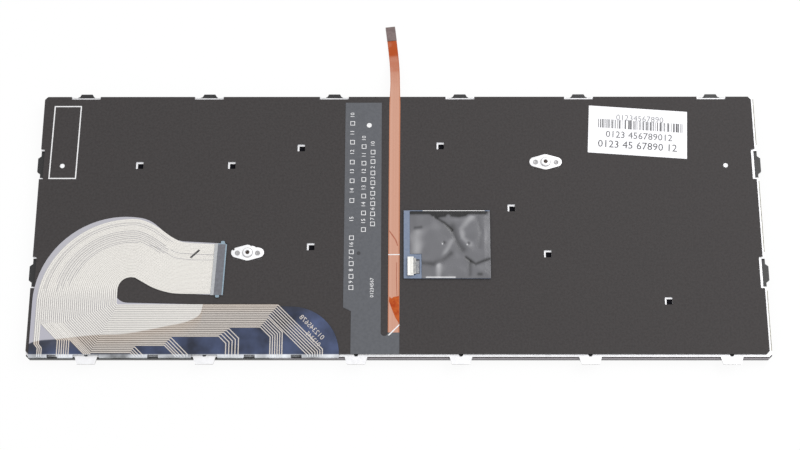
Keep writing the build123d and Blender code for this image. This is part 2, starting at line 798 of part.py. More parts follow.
# Cable connector: a housing with a slot for the cable and the latch's tongue
housing_left = connector_left + latch_bar
housing_right = connector_left + connector_depth
housing_front = connector_front + latch_ear + latch_clearance
housing_rear = connector_rear - latch_ear - latch_clearance
slot_bottom = board_face + connector_wall
slot_height = connector_height - 2 * connector_wall
connector_y = (connector_front + connector_rear) / 2
tongue_width = housing_rear - housing_front - 2 * connector_wall
with BuildPart() as board_connector:
    with BuildSketch(Plane((housing_right, connector_y, board_face))):
        Rectangle(housing_right - housing_left, housing_rear - housing_front, align=(Align.MAX, Align.CENTER))
    extrude(amount=connector_height)
    with BuildSketch(Plane((housing_left, connector_y, slot_bottom))):
        Rectangle(latch_tongue + connector_wall, tongue_width, align=(Align.MIN, Align.CENTER))
    extrude(amount=slot_height, mode=Mode.SUBTRACT)
board_connector.part.label = "board_connector"
export_step(board_connector.part, "parts/board_connector.step")


# Latch: a bar with an ear at each end and a tongue in the housing's slot, pulled out to free the cable
with BuildPart() as connector_latch:
    with BuildSketch(Plane((connector_left, connector_y, board_face + latch_clearance))):
        Rectangle(latch_bar - latch_clearance, connector_length, align=(Align.MIN, Align.CENTER))
        for side in (-1, 1):
            with Locations((0, side * (connector_length - latch_ear) / 2)):
                Rectangle(connector_depth - latch_travel, latch_ear, align=(Align.MIN, Align.CENTER))
    extrude(amount=connector_height - latch_clearance)
    with BuildSketch(Plane((connector_left, connector_y, slot_bottom + latch_clearance))):
        Rectangle(
            latch_bar + latch_tongue, tongue_width - 2 * latch_clearance, align=(Align.MIN, Align.CENTER),
        )
    extrude(amount=slot_height - 2 * latch_clearance)
connector_latch.part.label = "connector_latch"
export_step(connector_latch.part, "parts/connector_latch.step")
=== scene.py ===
import json
import math
import random

import bmesh
import bpy
from mathutils import Matrix, Vector, noise


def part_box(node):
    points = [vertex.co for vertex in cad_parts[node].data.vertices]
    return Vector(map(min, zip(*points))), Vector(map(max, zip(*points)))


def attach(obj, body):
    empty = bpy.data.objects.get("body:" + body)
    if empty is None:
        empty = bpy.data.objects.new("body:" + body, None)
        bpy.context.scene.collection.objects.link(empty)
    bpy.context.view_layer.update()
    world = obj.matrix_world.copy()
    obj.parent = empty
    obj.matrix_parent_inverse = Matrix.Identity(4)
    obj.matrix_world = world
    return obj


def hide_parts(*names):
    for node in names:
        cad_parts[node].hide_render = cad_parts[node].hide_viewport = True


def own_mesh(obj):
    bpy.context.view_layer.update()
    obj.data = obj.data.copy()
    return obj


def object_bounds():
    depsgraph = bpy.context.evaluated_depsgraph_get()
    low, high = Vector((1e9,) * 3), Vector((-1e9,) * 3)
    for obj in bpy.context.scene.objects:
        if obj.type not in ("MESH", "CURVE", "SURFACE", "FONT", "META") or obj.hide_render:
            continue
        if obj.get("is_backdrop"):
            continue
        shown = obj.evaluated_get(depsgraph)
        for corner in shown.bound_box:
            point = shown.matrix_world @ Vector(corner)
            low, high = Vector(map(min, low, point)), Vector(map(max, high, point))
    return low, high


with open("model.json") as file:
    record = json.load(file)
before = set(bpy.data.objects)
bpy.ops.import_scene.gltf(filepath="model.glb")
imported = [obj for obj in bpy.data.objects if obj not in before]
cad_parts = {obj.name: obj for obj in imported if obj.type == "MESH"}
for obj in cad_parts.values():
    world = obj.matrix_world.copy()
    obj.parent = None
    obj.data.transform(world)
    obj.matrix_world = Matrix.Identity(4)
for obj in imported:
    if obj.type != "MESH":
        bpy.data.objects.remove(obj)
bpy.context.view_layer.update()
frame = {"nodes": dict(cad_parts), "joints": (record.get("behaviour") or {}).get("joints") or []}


# Key frame: one black moulding in glass-filled plastic, a grille round the keycaps with hooks on
# its rear and side edges. It leaves the tool with a fine satin grain, and a painted highlight
# turns its front lip grey where the light glares on it.
def screen(red, green, blue):
    """A colour given as screen values, for a shader socket."""
    channels = []
    for value in (red / 255, green / 255, blue / 255):
        channels.append(value / 12.92 if value <= 0.04045 else ((value + 0.055) / 1.055) ** 2.4)
    return (*channels, 1.0)


def feed(node, inputs):
    """Gives a node's inputs constants, or links from other nodes' sockets."""
    for key, value in inputs.items():
        if isinstance(value, bpy.types.NodeSocket):
            node.id_data.links.new(value, node.inputs[key])
        else:
            node.inputs[key].default_value = value


def add_node(tree, kind, inputs, **settings):
    """Adds a node with its settings and inputs."""
    node = tree.nodes.new(kind)
    for name, value in settings.items():
        setattr(node, name, value)
    feed(node, inputs)
    return node


def ramp(tree, source, *stops):
    """Colour for a value, from colours at rising positions."""
    node = add_node(tree, "ShaderNodeValToRGB", {"Fac": source})
    elements = node.color_ramp.elements
    for element, (position, colour) in zip(elements, (stops[0], stops[-1])):
        element.position = position
        element.color = colour
    for position, colour in stops[1:-1]:
        elements.new(position).color = colour
    return node.outputs["Color"]


def share_of(tree, source, low, high, first=0.0, last=1.0, **settings):
    """Value of a source between two limits, as a share or as a number between two others."""
    inputs = {"Value": source, "From Min": low, "From Max": high, "To Min": first, "To Max": last}
    return add_node(tree, "ShaderNodeMapRange", inputs, **settings).outputs["Result"]


def mixed(tree, factor, first, second):
    """Two colours mixed by a share."""
    inputs = {"Factor": factor, "A": first, "B": second}
    return add_node(tree, "ShaderNodeMix", inputs, data_type="RGBA").outputs["Result"]


def object_place(tree):
    """Place in the object's own space, whole and by axis."""
    place = tree.nodes.new("ShaderNodeTexCoord").outputs["Object"]
    return place, add_node(tree, "ShaderNodeSeparateXYZ", {"Vector": place}).outputs


def grained(name, tone, fleck, grain, roughness, relief, metallic=0.0, gloss=0.5):
    """Finish with two tones in a grain of that size in metres, which also sets its relief."""
    material = bpy.data.materials.new(name)
    material.use_nodes = True
    tree = material.node_tree
    place = tree.nodes.new("ShaderNodeTexCoord").outputs["Object"]
    cells = add_node(tree, "ShaderNodeTexNoise", {
        "Vector": place, "Scale": 1 / grain, "Detail": 4.0, "Roughness": 0.6,
    }).outputs["Fac"]
    bump = add_node(tree, "ShaderNodeBump", {"Height": cells, "Strength": relief, "Distance": grain / 6})
    feed(tree.nodes["Principled BSDF"], {
        "Base Color": ramp(tree, cells, (0.36, fleck), (0.6, tone)),
        "Roughness": share_of(tree, cells, 0, 1, max(0.02, roughness - 0.08), min(1.0, roughness + 0.08)),
        "Normal": bump.outputs["Normal"], "Metallic": metallic, "Specular IOR Level": gloss,
    })
    return material


def overlaid(material, factor, colour):
    """Lays a colour over a grained finish by a share."""
    tree = material.node_tree
    grain = tree.nodes["Color Ramp"].outputs["Color"]
    feed(tree.nodes["Principled BSDF"], {"Base Color": mixed(tree, factor, grain, colour)})


def dress(name, material):
    """Gives a CAD node its finish."""
    node = frame["nodes"][name]
    if not node.material_slots:
        node.data.materials.append(material)
    for slot in node.material_slots:
        slot.material = material


frame_plastic = grained("frame_plastic", screen(34, 34, 35), screen(22, 22, 23), 0.0006, 0.42, 0.35)
tree = frame_plastic.node_tree
_, axes = object_place(tree)
# Painted highlight: glare on the front lip, laid over the black plastic as grey.
lip_glare_zone = add_node(tree, "ShaderNodeCombineXYZ", {
    axis: share_of(tree, axes[axis], low, high)
    for axis, low, high in (("X", -0.054, -0.050), ("Y", -0.0570, -0.0573), ("Z", 0.0032, 0.0038))
}).outputs["Vector"]
lip = add_node(tree, "ShaderNodeVectorMath", {0: lip_glare_zone, 1: (1, 1, 1)}, operation="DOT_PRODUCT")
overlaid(frame_plastic, share_of(tree, lip.outputs["Value"], 2.0, 3.0), screen(136, 130, 135))
dress("key_frame", frame_plastic)


# Keycaps: moulded in black plastic with a fine matt texture, hollow, with rounded corners and a
# slightly dished top. The legends are printed pale, and three caps curve round the pointing stick.
def skin(shape, rings):
    """Closed walls between rings of points, with the first and the last ring filled."""
    rows = [[shape.verts.new(point) for point in ring] for ring in rings]
    for row, after in zip(rows, rows[1:]):
        for n in range(len(row)):
            m = (n + 1) % len(row)
            shape.faces.new((row[n], row[m], after[m], after[n]))
    shape.faces.new(rows[0][::-1])
    shape.faces.new(rows[-1])


def circle(middle, radius, height, corners):
    """Ring of points round a middle."""
    turns = [math.tau * n / corners for n in range(corners)]
    return [(middle.x + radius * math.cos(turn), middle.y + radius * math.sin(turn), height) for turn in turns]


def placed(name, data):
    """Object with that data, in the scene."""
    thing = bpy.data.objects.new(name, data)
    bpy.context.collection.objects.link(thing)
    return thing


def built(name, shape, *materials):
    """Object with a shape's mesh."""
    bmesh.ops.recalc_face_normals(shape, faces=shape.faces)
    mesh = bpy.data.meshes.new(name)
    shape.to_mesh(mesh)
    shape.free()
    for material in materials:
        mesh.materials.append(material)
    return placed(name, mesh)


def piece_of(name, shape, *materials):
    """Object with a shape's mesh, smooth except where its faces meet steeply."""
    for face in shape.faces:
        face.smooth = True
    piece = built(name, shape, *materials)
    piece.data.set_sharp_from_angle(angle=math.radians(38))
    return piece


def fixed(piece):
    """Sets a piece on the base."""
    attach(piece, "base")


def written(text, size):
    """Flat mesh of a short text, centred, in metres."""
    line = bpy.data.curves.new("line", "FONT")
    line.body = text
    line.size = size
    line.align_x = "CENTER"
    line.align_y = "CENTER"
    line.resolution_u = 2
    carrier = placed("line", line)
    depsgraph = bpy.context.evaluated_depsgraph_get()
    mesh = bpy.data.meshes.new_from_object(carrier.evaluated_get(depsgraph))
    bpy.data.objects.remove(carrier)
    return mesh


def print_on(shape, text, size, place, material_index):
    """Adds a text to a shape at a place."""
    mesh = written(text, size)
    mesh.transform(place)
    first = len(shape.faces)
    shape.from_mesh(mesh)
    shape.faces.ensure_lookup_table()
    for face in shape.faces[first:]:
        face.material_index = material_index
    bpy.data.meshes.remove(mesh)


def solids_of(name):
    """Separate solids of a CAD node, each as merged points and faces."""
    whole = bmesh.new()
    whole.from_mesh(frame["nodes"][name].data)
    bmesh.ops.remove_doubles(whole, verts=whole.verts, dist=1e-6)
    whole.verts.index_update()
    whole.faces.index_update()
    seen = set()
    found = []
    for first in whole.verts:
        if first.index in seen:
            continue
        seen.add(first.index)
        group = [first]
        for vertex in group:
            for edge in vertex.link_edges:
                other = edge.other_vert(vertex)
                if other.index not in seen:
                    seen.add(other.index)
                    group.append(other)
        order = {vertex.index: n for n, vertex in enumerate(group)}
        faces = sorted({face for vertex in group for face in vertex.link_faces}, key=lambda face: face.index)
        sides = [[order[vertex.index] for vertex in face.verts] for face in faces]
        found.append(([vertex.co.copy() for vertex in group], sides))
    whole.free()
    return found


stick_low, stick_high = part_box("stick_cap")
stick = (stick_low + stick_high) / 2
cap_sections = (
    (0.80, 0.90, 0.6), (0.80, 2.00, 0.6), (0.00, 2.00, 1.3), (0.21, 0.50, 1.25), (0.30, 0.18, 1.2),
    (0.42, 0.05, 1.1), (0.70, 0.00, 1.0), (3.00, 0.10, 0.4),
)


def cap_ring(low, high, inset, height, radius, fill):
    """Ring round a cap, set in from its rim and kept clear of the pointing stick, in metres."""
    points = []
    for side_x, side_y, turn in ((1, 1, 0), (-1, 1, 90), (-1, -1, 180), (1, -1, 270)):
        x = (high.x if side_x > 0 else low.x) - side_x * (inset + radius)
        y = (high.y if side_y > 0 else low.y) - side_y * (inset + radius)
        for step in range(6):
            angle = math.radians(turn + 90 * step / 5)
            points.append(Vector((x + radius * math.cos(angle), y + radius * math.sin(angle), height)))
    ring = []
    for n, point in enumerate(points):
        ring.append(point)
        if n % 6 == 5:
            after = points[(n + 1) % len(points)]
            ring += [point.lerp(after, step / (fill + 1)) for step in range(1, fill + 1)]
    room = 0.0048 + inset
    for point in ring:
        away = Vector((point.x - stick.x, point.y - stick.y))
        if away.length < room:
            away *= room / away.length
            point.x, point.y = stick.x + away.x, stick.y + away.y
    return ring


def add_cap(shape, low, high, fill, legend):
    """Adds one hollow cap with its legend."""
    skin(shape, [
        cap_ring(low, high, inset / 1000, low.z + height / 1000, radius / 1000, fill)
        for inset, height, radius in cap_sections
    ])
    middle = (low + high) / 2
    turned = Matrix.Translation((middle.x, middle.y, low.z + 0.00009)) @ Matrix.Rotation(math.pi, 4, "Y")
    if legend:
        print_on(shape, legend, 0.0042 if len(legend) == 1 else 0.0026, turned, 1)


keycap_plastic = grained("keycap_plastic", screen(40, 40, 41), screen(28, 28, 29), 0.00035, 0.55, 0.5)
legend_print = grained("legend_print", screen(214, 216, 218), screen(196, 198, 200), 0.0004, 0.5, 0.1)
key_joints = [joint["name"] for joint in frame["joints"] if joint["name"].startswith("press_")]
legends = {
    "space": "", "enter": "Enter", "backspace": "Back", "left_shift": "Shift", "right_shift": "Shift", "tab": "Tab",
    "caps_lock": "Caps", "arrow_left": "<", "arrow_right": ">", "arrow_up": "^", "arrow_down": "v",
}
key_places = {}
for joint in key_joints:
    name = joint.removeprefix("press_")
    low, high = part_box("key_" + name)
    key_places[joint] = (low + high) / 2
    shape = bmesh.new()
    add_cap(shape, low, high, 20 if name in ("g", "h", "b") else 0, legends.get(name, name.upper()))
    keycap = piece_of("cap_" + name, shape, keycap_plastic, legend_print)
    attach(keycap, "key_" + name)
    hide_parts("key_" + name)

still_legends = (
    "Esc F1 F2 F3 F4 F5 F6 F7 F8 F9 F10 F11 F12 Ins Del ` 1 2 3 4 5 6 7 8 9 0 - = Home "
    "[ ] \\ PgUp ; ' PgDn , . / End Ctrl Fn Menu Alt Alt Ctrl"
).split()
still_boxes = []
for points, sides in solids_of("fixed_keys"):
    corners = [[pick(point[axis] for point in points) for axis in range(3)] for pick in (min, max)]
    still_boxes.append([Vector(corner) for corner in corners])
still_boxes.sort(key=lambda box: (-round((box[0].y + box[1].y) / 0.012), -box[0].x))
shape = bmesh.new()
for (low, high), legend in zip(still_boxes, still_legends):
    add_cap(shape, low, high, 0, legend)
    middle = (low + high) / 2
    skin(shape, [circle(middle, radius, height, 16) for radius, height in (
        (0.0011, low.z + 0.0009), (0.0013, low.z + 0.0022), (0.0022, high.z - 0.0003), (0.0022, high.z),
    )])
still_caps = piece_of("still_caps", shape, keycap_plastic, legend_print)
fixed(still_caps)
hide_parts("fixed_keys")


# Scissors, domes and wires: milky acetal frames crossing under each cap, a translucent silicone
# dome in the middle that springs the key back, and bent steel wires that keep wide keys level.
# In use they fold flat towards the membrane as the key goes down; here they are fixed to the base at rest.
scissor_plastic = grained("scissor_plastic", screen(206, 206, 200), screen(190, 190, 184), 0.0008, 0.42, 0.2)
dome_rubber = grained("dome_rubber", screen(196, 200, 204), screen(176, 182, 188), 0.0008, 0.35, 0.15)
bar_wire = grained("bar_wire", screen(196, 196, 198), screen(150, 150, 154), 0.0004, 0.3, 0.2, metallic=1.0)
membrane_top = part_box("membrane")[0].z
for node, material, slot, bevel in (
    ("outer_scissors", scissor_plastic, "scissor_plastic", 0.00015),
    ("inner_scissors", scissor_plastic, "scissor_plastic", 0.00015),
    ("rubber_domes", dome_rubber, "dome_rubber", 0.0), ("stabiliser_bars", bar_wire, "bar_wire", 0.0002),
):
    for points, sides in solids_of(node):
        middle = sum(points, Vector()) / len(points)
        joint = min(key_joints, key=lambda joint: (key_places[joint].xy - middle.xy).length)
        shape = bmesh.new()
        if bevel:
            corners = [shape.verts.new(point) for point in points]
            for side in sides:
                shape.faces.new([corners[n] for n in side])
            bmesh.ops.bevel(shape, geom=shape.edges, offset=bevel, segments=2, affect="EDGES", clamp_overlap=True)
        else:
            low = min(point.z for point in points)
            reach = max(point.x for point in points) - middle.x
            skin(shape, [circle(middle, share * reach, low + rise * (membrane_top - low), 18) for share, rise in (
                (0.5, 0.0), (0.55, 0.25), (0.62, 0.45), (0.92, 0.85), (1.0, 0.92), (1.0, 1.0),
            )])
        soft = piece_of(f"{node}_{joint.removeprefix('press_')}", shape, material)
        fixed(soft)
        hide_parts(node)
        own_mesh(soft)


# Membrane: clear polyester film screen-printed with silver ink. It folds round the front edge,
# and on the back its tail loops up to the end that plugs into the laptop. The loop has a pale
# backing print with a curved border, and the rest is bare film over the dark back. Below the
# plate, painted shade darkens it nearly to black and takes its gloss away.
def reckoned(tree, operation, *values):
    """Result of an operation on sockets and numbers."""
    return add_node(tree, "ShaderNodeMath", dict(enumerate(values)), operation=operation).outputs["Value"]


def printed_film(name, bare, border, backed, packed, folded, roughness, drift):
    """Film or ink in its tones: bare, just off the backing print, over it, in the tight loop and on the fold."""
    material = grained(name, bare, bare, 0.004, roughness, 0.05)
    tree = material.node_tree
    place, axes = object_place(tree)
    edge = add_node(tree, "ShaderNodeFloatCurve", {"Value": share_of(tree, axes["X"], -0.152, -0.077)})
    curve = edge.mapping.curves[0]
    curve.points[0].location = (0.0, 0.04)
    curve.points[1].location = (1.0, 1.0)
    for along, height in (
        (0.07, 0.144), (0.15, 0.171), (0.27, 0.223), (0.38, 0.263), (0.51, 0.280), (0.655, 0.366), (0.75, 0.442),
        (0.848, 0.518), (0.895, 0.583), (0.929, 0.659), (0.951, 0.80), (0.957, 0.95),
    ):
        curve.points.new(along, height)
    edge.mapping.update()
    level = share_of(tree, axes["Y"], -0.0535, -0.0335, clamp=False)
    above = reckoned(tree, "SUBTRACT", level, edge.outputs["Value"])
    # Painted shade: below the plate's height the film is darkened nearly to black and loses its gloss.
    under_plate_shade = share_of(tree, axes["Z"], 0.0046, 0.0044)
    tone = ramp(
        tree, share_of(tree, above, -0.5, 0.5), (0.22, bare), (0.44, border), (0.495, border), (0.52, backed),
    )
    for factor, colour in (
        (share_of(tree, axes["Y"], -0.0335, -0.0265), packed), (under_plate_shade, screen(22, 22, 26)),
        (share_of(tree, axes["Y"], -0.0560, -0.0563), folded),
    ):
        tone = mixed(tree, factor, tone, colour)
    cloud = add_node(tree, "ShaderNodeTexNoise", {"Vector": place, "Scale": 80.0, "Detail": 3.0}).outputs["Fac"]
    mottle_and_shade = add_node(tree, "ShaderNodeHueSaturation", {
        "Color": tone, "Value": share_of(tree, cloud, 0.3, 0.7, 1 - drift, 1 + drift),
        "Fac": share_of(tree, above, 0.02, -0.02),
    })
    feed(tree.nodes["Principled BSDF"], {
        "Base Color": mottle_and_shade.outputs["Color"], "Specular IOR Level": share_of(tree, under_plate_shade, 0, 1, 0.35, 0.0),
    })
    return material


circuit_film = printed_film(
    "circuit_film", screen(56, 66, 94), screen(60, 64, 80), screen(170, 169, 178), screen(172, 171, 178),
    screen(200, 203, 208), 0.25, 0.7,
)
dress("membrane", circuit_film)


# Traces: forty silver lines on the tail, each from its pin round the loop and down the leg. Three
# run straight to the front edge, ten slant to it, and the rest turn along the strip and branch
# off in five groups. As far as there, each is printed over a wider band of clear lacquer.
def tree_with(name, sizes):
    """Geometry tree with a geometry input, named sizes and a geometry output."""
    tree = bpy.data.node_groups.new(name, "GeometryNodeTree")
    tree.interface.new_socket(name="Geometry", in_out="INPUT", socket_type="NodeSocketGeometry")
    names = {}
    for label in sizes:
        socket = tree.interface.new_socket(name=label, in_out="INPUT", socket_type="NodeSocketFloat")
        names[label] = socket.identifier
    tree.interface.new_socket(name="Geometry", in_out="OUTPUT", socket_type="NodeSocketGeometry")
    return tree, tree.nodes.new("NodeGroupInput").outputs, names


def end_tree(tree, geometry, material):
    """Ends a geometry tree with real faces in one material."""
    faces = add_node(tree, "GeometryNodeRealizeInstances", {"Geometry": geometry}).outputs["Geometry"]
    paint = add_node(tree, "GeometryNodeSetMaterial", {"Geometry": faces, "Material": material})
    add_node(tree, "NodeGroupOutput", {"Geometry": paint.outputs["Geometry"]})


def grown(name, mesh, tree, names, sizes):
    """Fixed piece that a tree makes from a mesh with the given sizes."""
    seed = placed(name + "_seed", mesh)
    modifier = seed.modifiers.new("tree", "NODES")
    modifier.node_group = tree
    for label, value in sizes.items():
        modifier[names[label]] = value
    depsgraph = bpy.context.evaluated_depsgraph_get()
    result = bpy.data.meshes.new_from_object(seed.evaluated_get(depsgraph))
    bpy.data.objects.remove(seed)
    fixed(placed(name, result))


def strip_tree(name, material):
    """Flat strips along the lines of a mesh."""
    tree, start, names = tree_with(name, ("Width", "Thickness"))
    curve = add_node(tree, "GeometryNodeMeshToCurve", {"Mesh": start["Geometry"]}).outputs["Curve"]
    upright = add_node(tree, "GeometryNodeSetCurveNormal", {"Curve": curve}, mode="Z_UP").outputs["Curve"]
    section = add_node(tree, "GeometryNodeCurvePrimitiveQuadrilateral", {
        "Width": start["Width"], "Height": start["Thickness"],
    }).outputs["Curve"]
    strip = add_node(tree, "GeometryNodeCurveToMesh", {
        "Curve": upright, "Profile Curve": section, "Fill Caps": True,
    })
    end_tree(tree, strip.outputs["Mesh"], material)
    return tree, names


def line_mesh(name, lines, height):
    """Mesh of open lines, given in millimetres, at one height, with every second one a little higher."""
    mesh = bpy.data.meshes.new(name)
    points = []
    edges = []
    overlap_step = 0.000004
    for number, line in enumerate(lines):
        first = len(points)
        points += [(x / 1000, y / 1000, height + overlap_step * (number % 2)) for x, y in line]
        edges += [(n, n + 1) for n in range(first, first + len(line) - 1)]
    mesh.from_pydata(points, edges, [])
    return mesh


def oblong(left, right, low, high):
    """Outline with four square corners."""
    return [(left, low), (right, low), (right, high), (left, high)]


def plates(name, outlines, low, high, material):
    """Fixed piece of flat parts, with outlines in millimetres, from one height to another in metres."""
    shape = bmesh.new()
    for outline in outlines:
        bottom = [shape.verts.new((x / 1000, y / 1000, low)) for x, y in outline]
        top = [shape.verts.new((x / 1000, y / 1000, high)) for x, y in outline]
        shape.faces.new(top)
        shape.faces.new(bottom[::-1])
        for n in range(len(outline)):
            m = (n + 1) % len(outline)
            shape.faces.new((bottom[n], bottom[m], top[m], top[n]))
    fixed(built(name, shape, material))


def between(share, first, last):
    """Point at a share of the way between two points."""
    return tuple(a + share * (b - a) for a, b in zip(first, last))


def eased(points, steps):
    """Smooth line through points."""
    line = []
    for n in range(len(points) - 1):
        before = points[max(n - 1, 0)]
        a, b = points[n], points[n + 1]
        after = points[min(n + 2, len(points) - 1)]
        for step in range(steps):
            t = step / steps
            line.append(tuple(
                0.5 * (2 * q + (r - p) * t + (2 * p - 5 * q + 4 * r - s) * t ** 2 + (3 * q - p - 3 * r + s) * t ** 3)
                for p, q, r, s in zip(before, a, b, after)
            ))
    line.append(points[-1])
    return line


trace_count = 40
leg_first, leg_last = -148.6, -116.3
front_edge = -57.2
outer_neck = ((-101.4, -1.8), (-95.7, -5.9), (-90.9, -8.5), (-86.0, -9.2), (-76.5, -9.7))
inner_neck = ((-105.6, -25.3), (-101.0, -27.8), (-95.5, -29.6), (-90.0, -30.3), (-77.4, -30.4))


def loop_line(share):
    """Line round the loop from the connector to the top of the leg, from the outer edge to the eye."""
    points = [between(share, outer, inner) for outer, inner in zip(reversed(outer_neck), reversed(inner_neck))]
    for step in range(10, -1, -1):
        outer_angle = math.radians(180 - 100 * step / 10)
        inner_angle = math.radians(180 - 110 * step / 10)
        reach = 34.6 - 1.3 * math.sin(math.pi * step / 10)
        outer = (-114 + reach * math.cos(outer_angle), -33 + reach * math.sin(outer_angle))
        inner = (-110.6 + 5.7 * math.cos(inner_angle), -28.9 + 5.7 * math.sin(inner_angle))
        points.append(between(share, outer, inner))
    return eased(points, 4)


branches = (
    (13, 4, -107.4, 1.13, -58.0), (17, 5, -90.6, 1.15, -58.0), (22, 5, -70.4, 1.28, -51.6),
    (27, 6, -52.4, 0.98, -48.9), (33, 7, -37.0, 1.0, -56.5),
)
traces = []
bands = []
for number in range(trace_count):
    share = number / (trace_count - 1)
    leg = leg_first + share * (leg_last - leg_first)
    line = loop_line(share)
    if number < 3:
        band = line + [(leg, -51.8)]
        line = band + [(leg + 1.4, -53.6), (leg + 1.4, front_edge)]
    elif number < 9:
        end = -139.2 + 0.94 * (number - 3)
        band = line + [(leg, -50.3 + end - leg), (end, -50.3)]
        line = band + [(end, front_edge)]
    elif number < 13:
        end = -127.9 + 0.83 * (number - 9)
        band = line = line + [(leg, -56.2 + end - leg), (end, -56.2)]
    else:
        level = -55.4 + 0.764 * (number - 13)
        seam = -125.46 + (level + 55.64) * 0.495
        band = line = line + [(leg, level + seam - leg), (seam, level)]
        for first, count, left, pitch, turn in branches:
            if first <= number < first + count:
                step = number - first
                end = left + pitch * step
                down = max(turn + 0.414 * pitch * step, front_edge)
                band = line + [(end - (level - down), level)]
                line = band + [(end, down)]
                if down > front_edge:
                    line.append((end, front_edge))
    traces.append(line)
    bands.append(band)

tail_face = 0.0058
lacquer = printed_film(
    "trace_lacquer", screen(128, 122, 118), screen(132, 119, 108), screen(197, 194, 191), screen(220, 217, 212),
    screen(188, 190, 194), 0.25, 0.05,
)
silver_ink = printed_film(
    "silver_ink", screen(198, 191, 184), screen(203, 193, 183), screen(224, 221, 215), screen(225, 222, 216),
    screen(216, 218, 220), 0.3, 0.03,
)
seam_ink = grained("seam_ink", screen(164, 162, 166), screen(176, 174, 177), 0.002, 0.35, 0.1)
pen_ink = grained("pen_ink", screen(58, 56, 57), screen(84, 82, 82), 0.0008, 0.4, 0.1)
seams = []
for share, first, last in (
    (0.055, 10, -3), (0.089, 12, -2), (0.197, 12, -5), (0.23, 11, -2), (0.264, 11, -4), (0.297, 13, -3),
    (0.331, 12, -6), (0.371, 13, -4),
):
    seams.append(loop_line(share)[first:last])
seams.append([
    (-77.03, -16.17), (-85.41, -16.17), (-89.0, -15.78), (-92.09, -15.39), (-94.16, -14.57), (-95.96, -13.4),
    (-99.9, -11.14), (-103.8, -9.6),
])
seams.append(loop_line(0.40)[20:-8])
seams.append([
    (-94.8, -11.66), (-93.22, -12.57), (-90.65, -13.27), (-86.07, -13.53), (-83.23, -13.79), (-75.87, -13.92),
])
for name, lines, material, width, height in (
    ("tail_lacquer", bands, lacquer, 0.80, 0.00001), ("tail_traces", traces, silver_ink, 0.46, 0.00003),
    ("tail_seams", seams, seam_ink, 0.18, 0.00006),
    ("pen_stroke", [[(-86.37, -15.22), (-82.77, -11.84)]], pen_ink, 0.8, 0.00007),
):
    tree, names = strip_tree(name, material)
    sizes = {"Width": width / 1000, "Thickness": 0.00002}
    grown(name, line_mesh(name, lines, tail_face + height), tree, names, sizes)

fold_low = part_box("membrane")[0].y * 1000
slot_dark = grained("slot_dark", screen(30, 30, 33), screen(42, 42, 45), 0.0006, 0.6, 0.1, gloss=0.2)
plates("fold_slots", [
    oblong(left, right, fold_low - 0.03, fold_low + 0.3)
    for left, right in ((-143.0, -139.1), (-102.3, -97.9), (-63.2, -58.4), (-43.7, -39.4))
], tail_face - 0.0014, tail_face - 0.0002, slot_dark)
numbers = bmesh.new()
for digits, x, y, size in (("012345678", -0.0355, -0.0449, 0.0030), ("012345", -0.0349, -0.0497, 0.0026)):
    slanted = Matrix.Translation((x, y, tail_face + 0.00005)) @ Matrix.Rotation(math.radians(-45), 4, "Z")
    print_on(numbers, digits, size, slanted @ Matrix.Rotation(math.pi, 4, "Y"), 0)
film_numbers = piece_of("film_numbers", numbers, silver_ink)
fixed(film_numbers)


# Stiffener: a blue-grey polyester patch glued under the tail's pins, with a pale printed border
# and two ears that locate it in the laptop's connector.
stiffener_film = grained("stiffener_film", screen(97, 98, 104), screen(107, 109, 116), 0.0012, 0.45, 0.3)
dress("tail_stiffener", stiffener_film)
stiffener_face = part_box("tail_stiffener")[1].z
pale_blue = grained("pale_blue_print", screen(140, 160, 173), screen(124, 146, 160), 0.001, 0.4, 0.1)
plates("stiffener_border", [
    [(-71.9, -9.1), (-71.4, -9.1), (-72.4, -31.3), (-72.9, -31.3)],
    [(-75.1, -9.4), (-75.1, -9.1), (-71.4, -9.1), (-71.4, -9.4)],
    [(-73.9, -9.1), (-72.3, -9.1), (-72.3, -8.3), (-72.6, -8.0), (-73.6, -8.0), (-73.9, -8.3)],
    [(-75.5, -31.3), (-75.5, -32.0), (-75.2, -32.3), (-74.2, -32.3), (-73.9, -32.0), (-73.9, -31.3)],
], stiffener_face - 0.00002, stiffener_face + 0.00003, pale_blue)
grey_band = grained("pin_carbon", screen(164, 166, 168), screen(176, 178, 180), 0.0012, 0.45, 0.2)
plates("pin_band", [
    [(-76.4, -9.1), (-75.1, -9.1), (-76.2, -31.3), (-77.5, -31.3)],
], stiffener_face - 0.00002, stiffener_face + 0.00003, grey_band)


# Base plate: zinc-coated sheet steel, stamped with front tabs, windows and edge notches. Its walls
# are painted darker than its faces, partly as bare cut steel and partly as painted shade, and a strip
# along its right edge is painted dark, partly for its burr and partly as painted shade. The roots
# of the frame's rear hooks fill its rear notches.
plate_metal = grained("plate_metal", screen(234, 234, 236), screen(226, 226, 228), 0.0015, 0.45, 0.06, metallic=0.3)
tree = plate_metal.node_tree
facing = tree.nodes.new("ShaderNodeNewGeometry").outputs["Normal"]
upward = add_node(tree, "ShaderNodeSeparateXYZ", {"Vector": facing}).outputs["Z"]
# Bare cut steel and painted shade: faces that turn away from the top are darkened.
cut_edge_and_wall_shade = share_of(tree, reckoned(tree, "ABSOLUTE", upward), 0.6, 0.2)
overlaid(plate_metal, cut_edge_and_wall_shade, screen(132, 128, 122))
dress("base_plate", plate_metal)
plate_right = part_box("base_plate")[1].x * 1000
burr_and_shade_steel = grained("burr_and_shade_steel", screen(150, 146, 122), screen(96, 92, 80), 0.0016, 0.5, 0.2)
plate_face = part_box("base_plate")[1].z
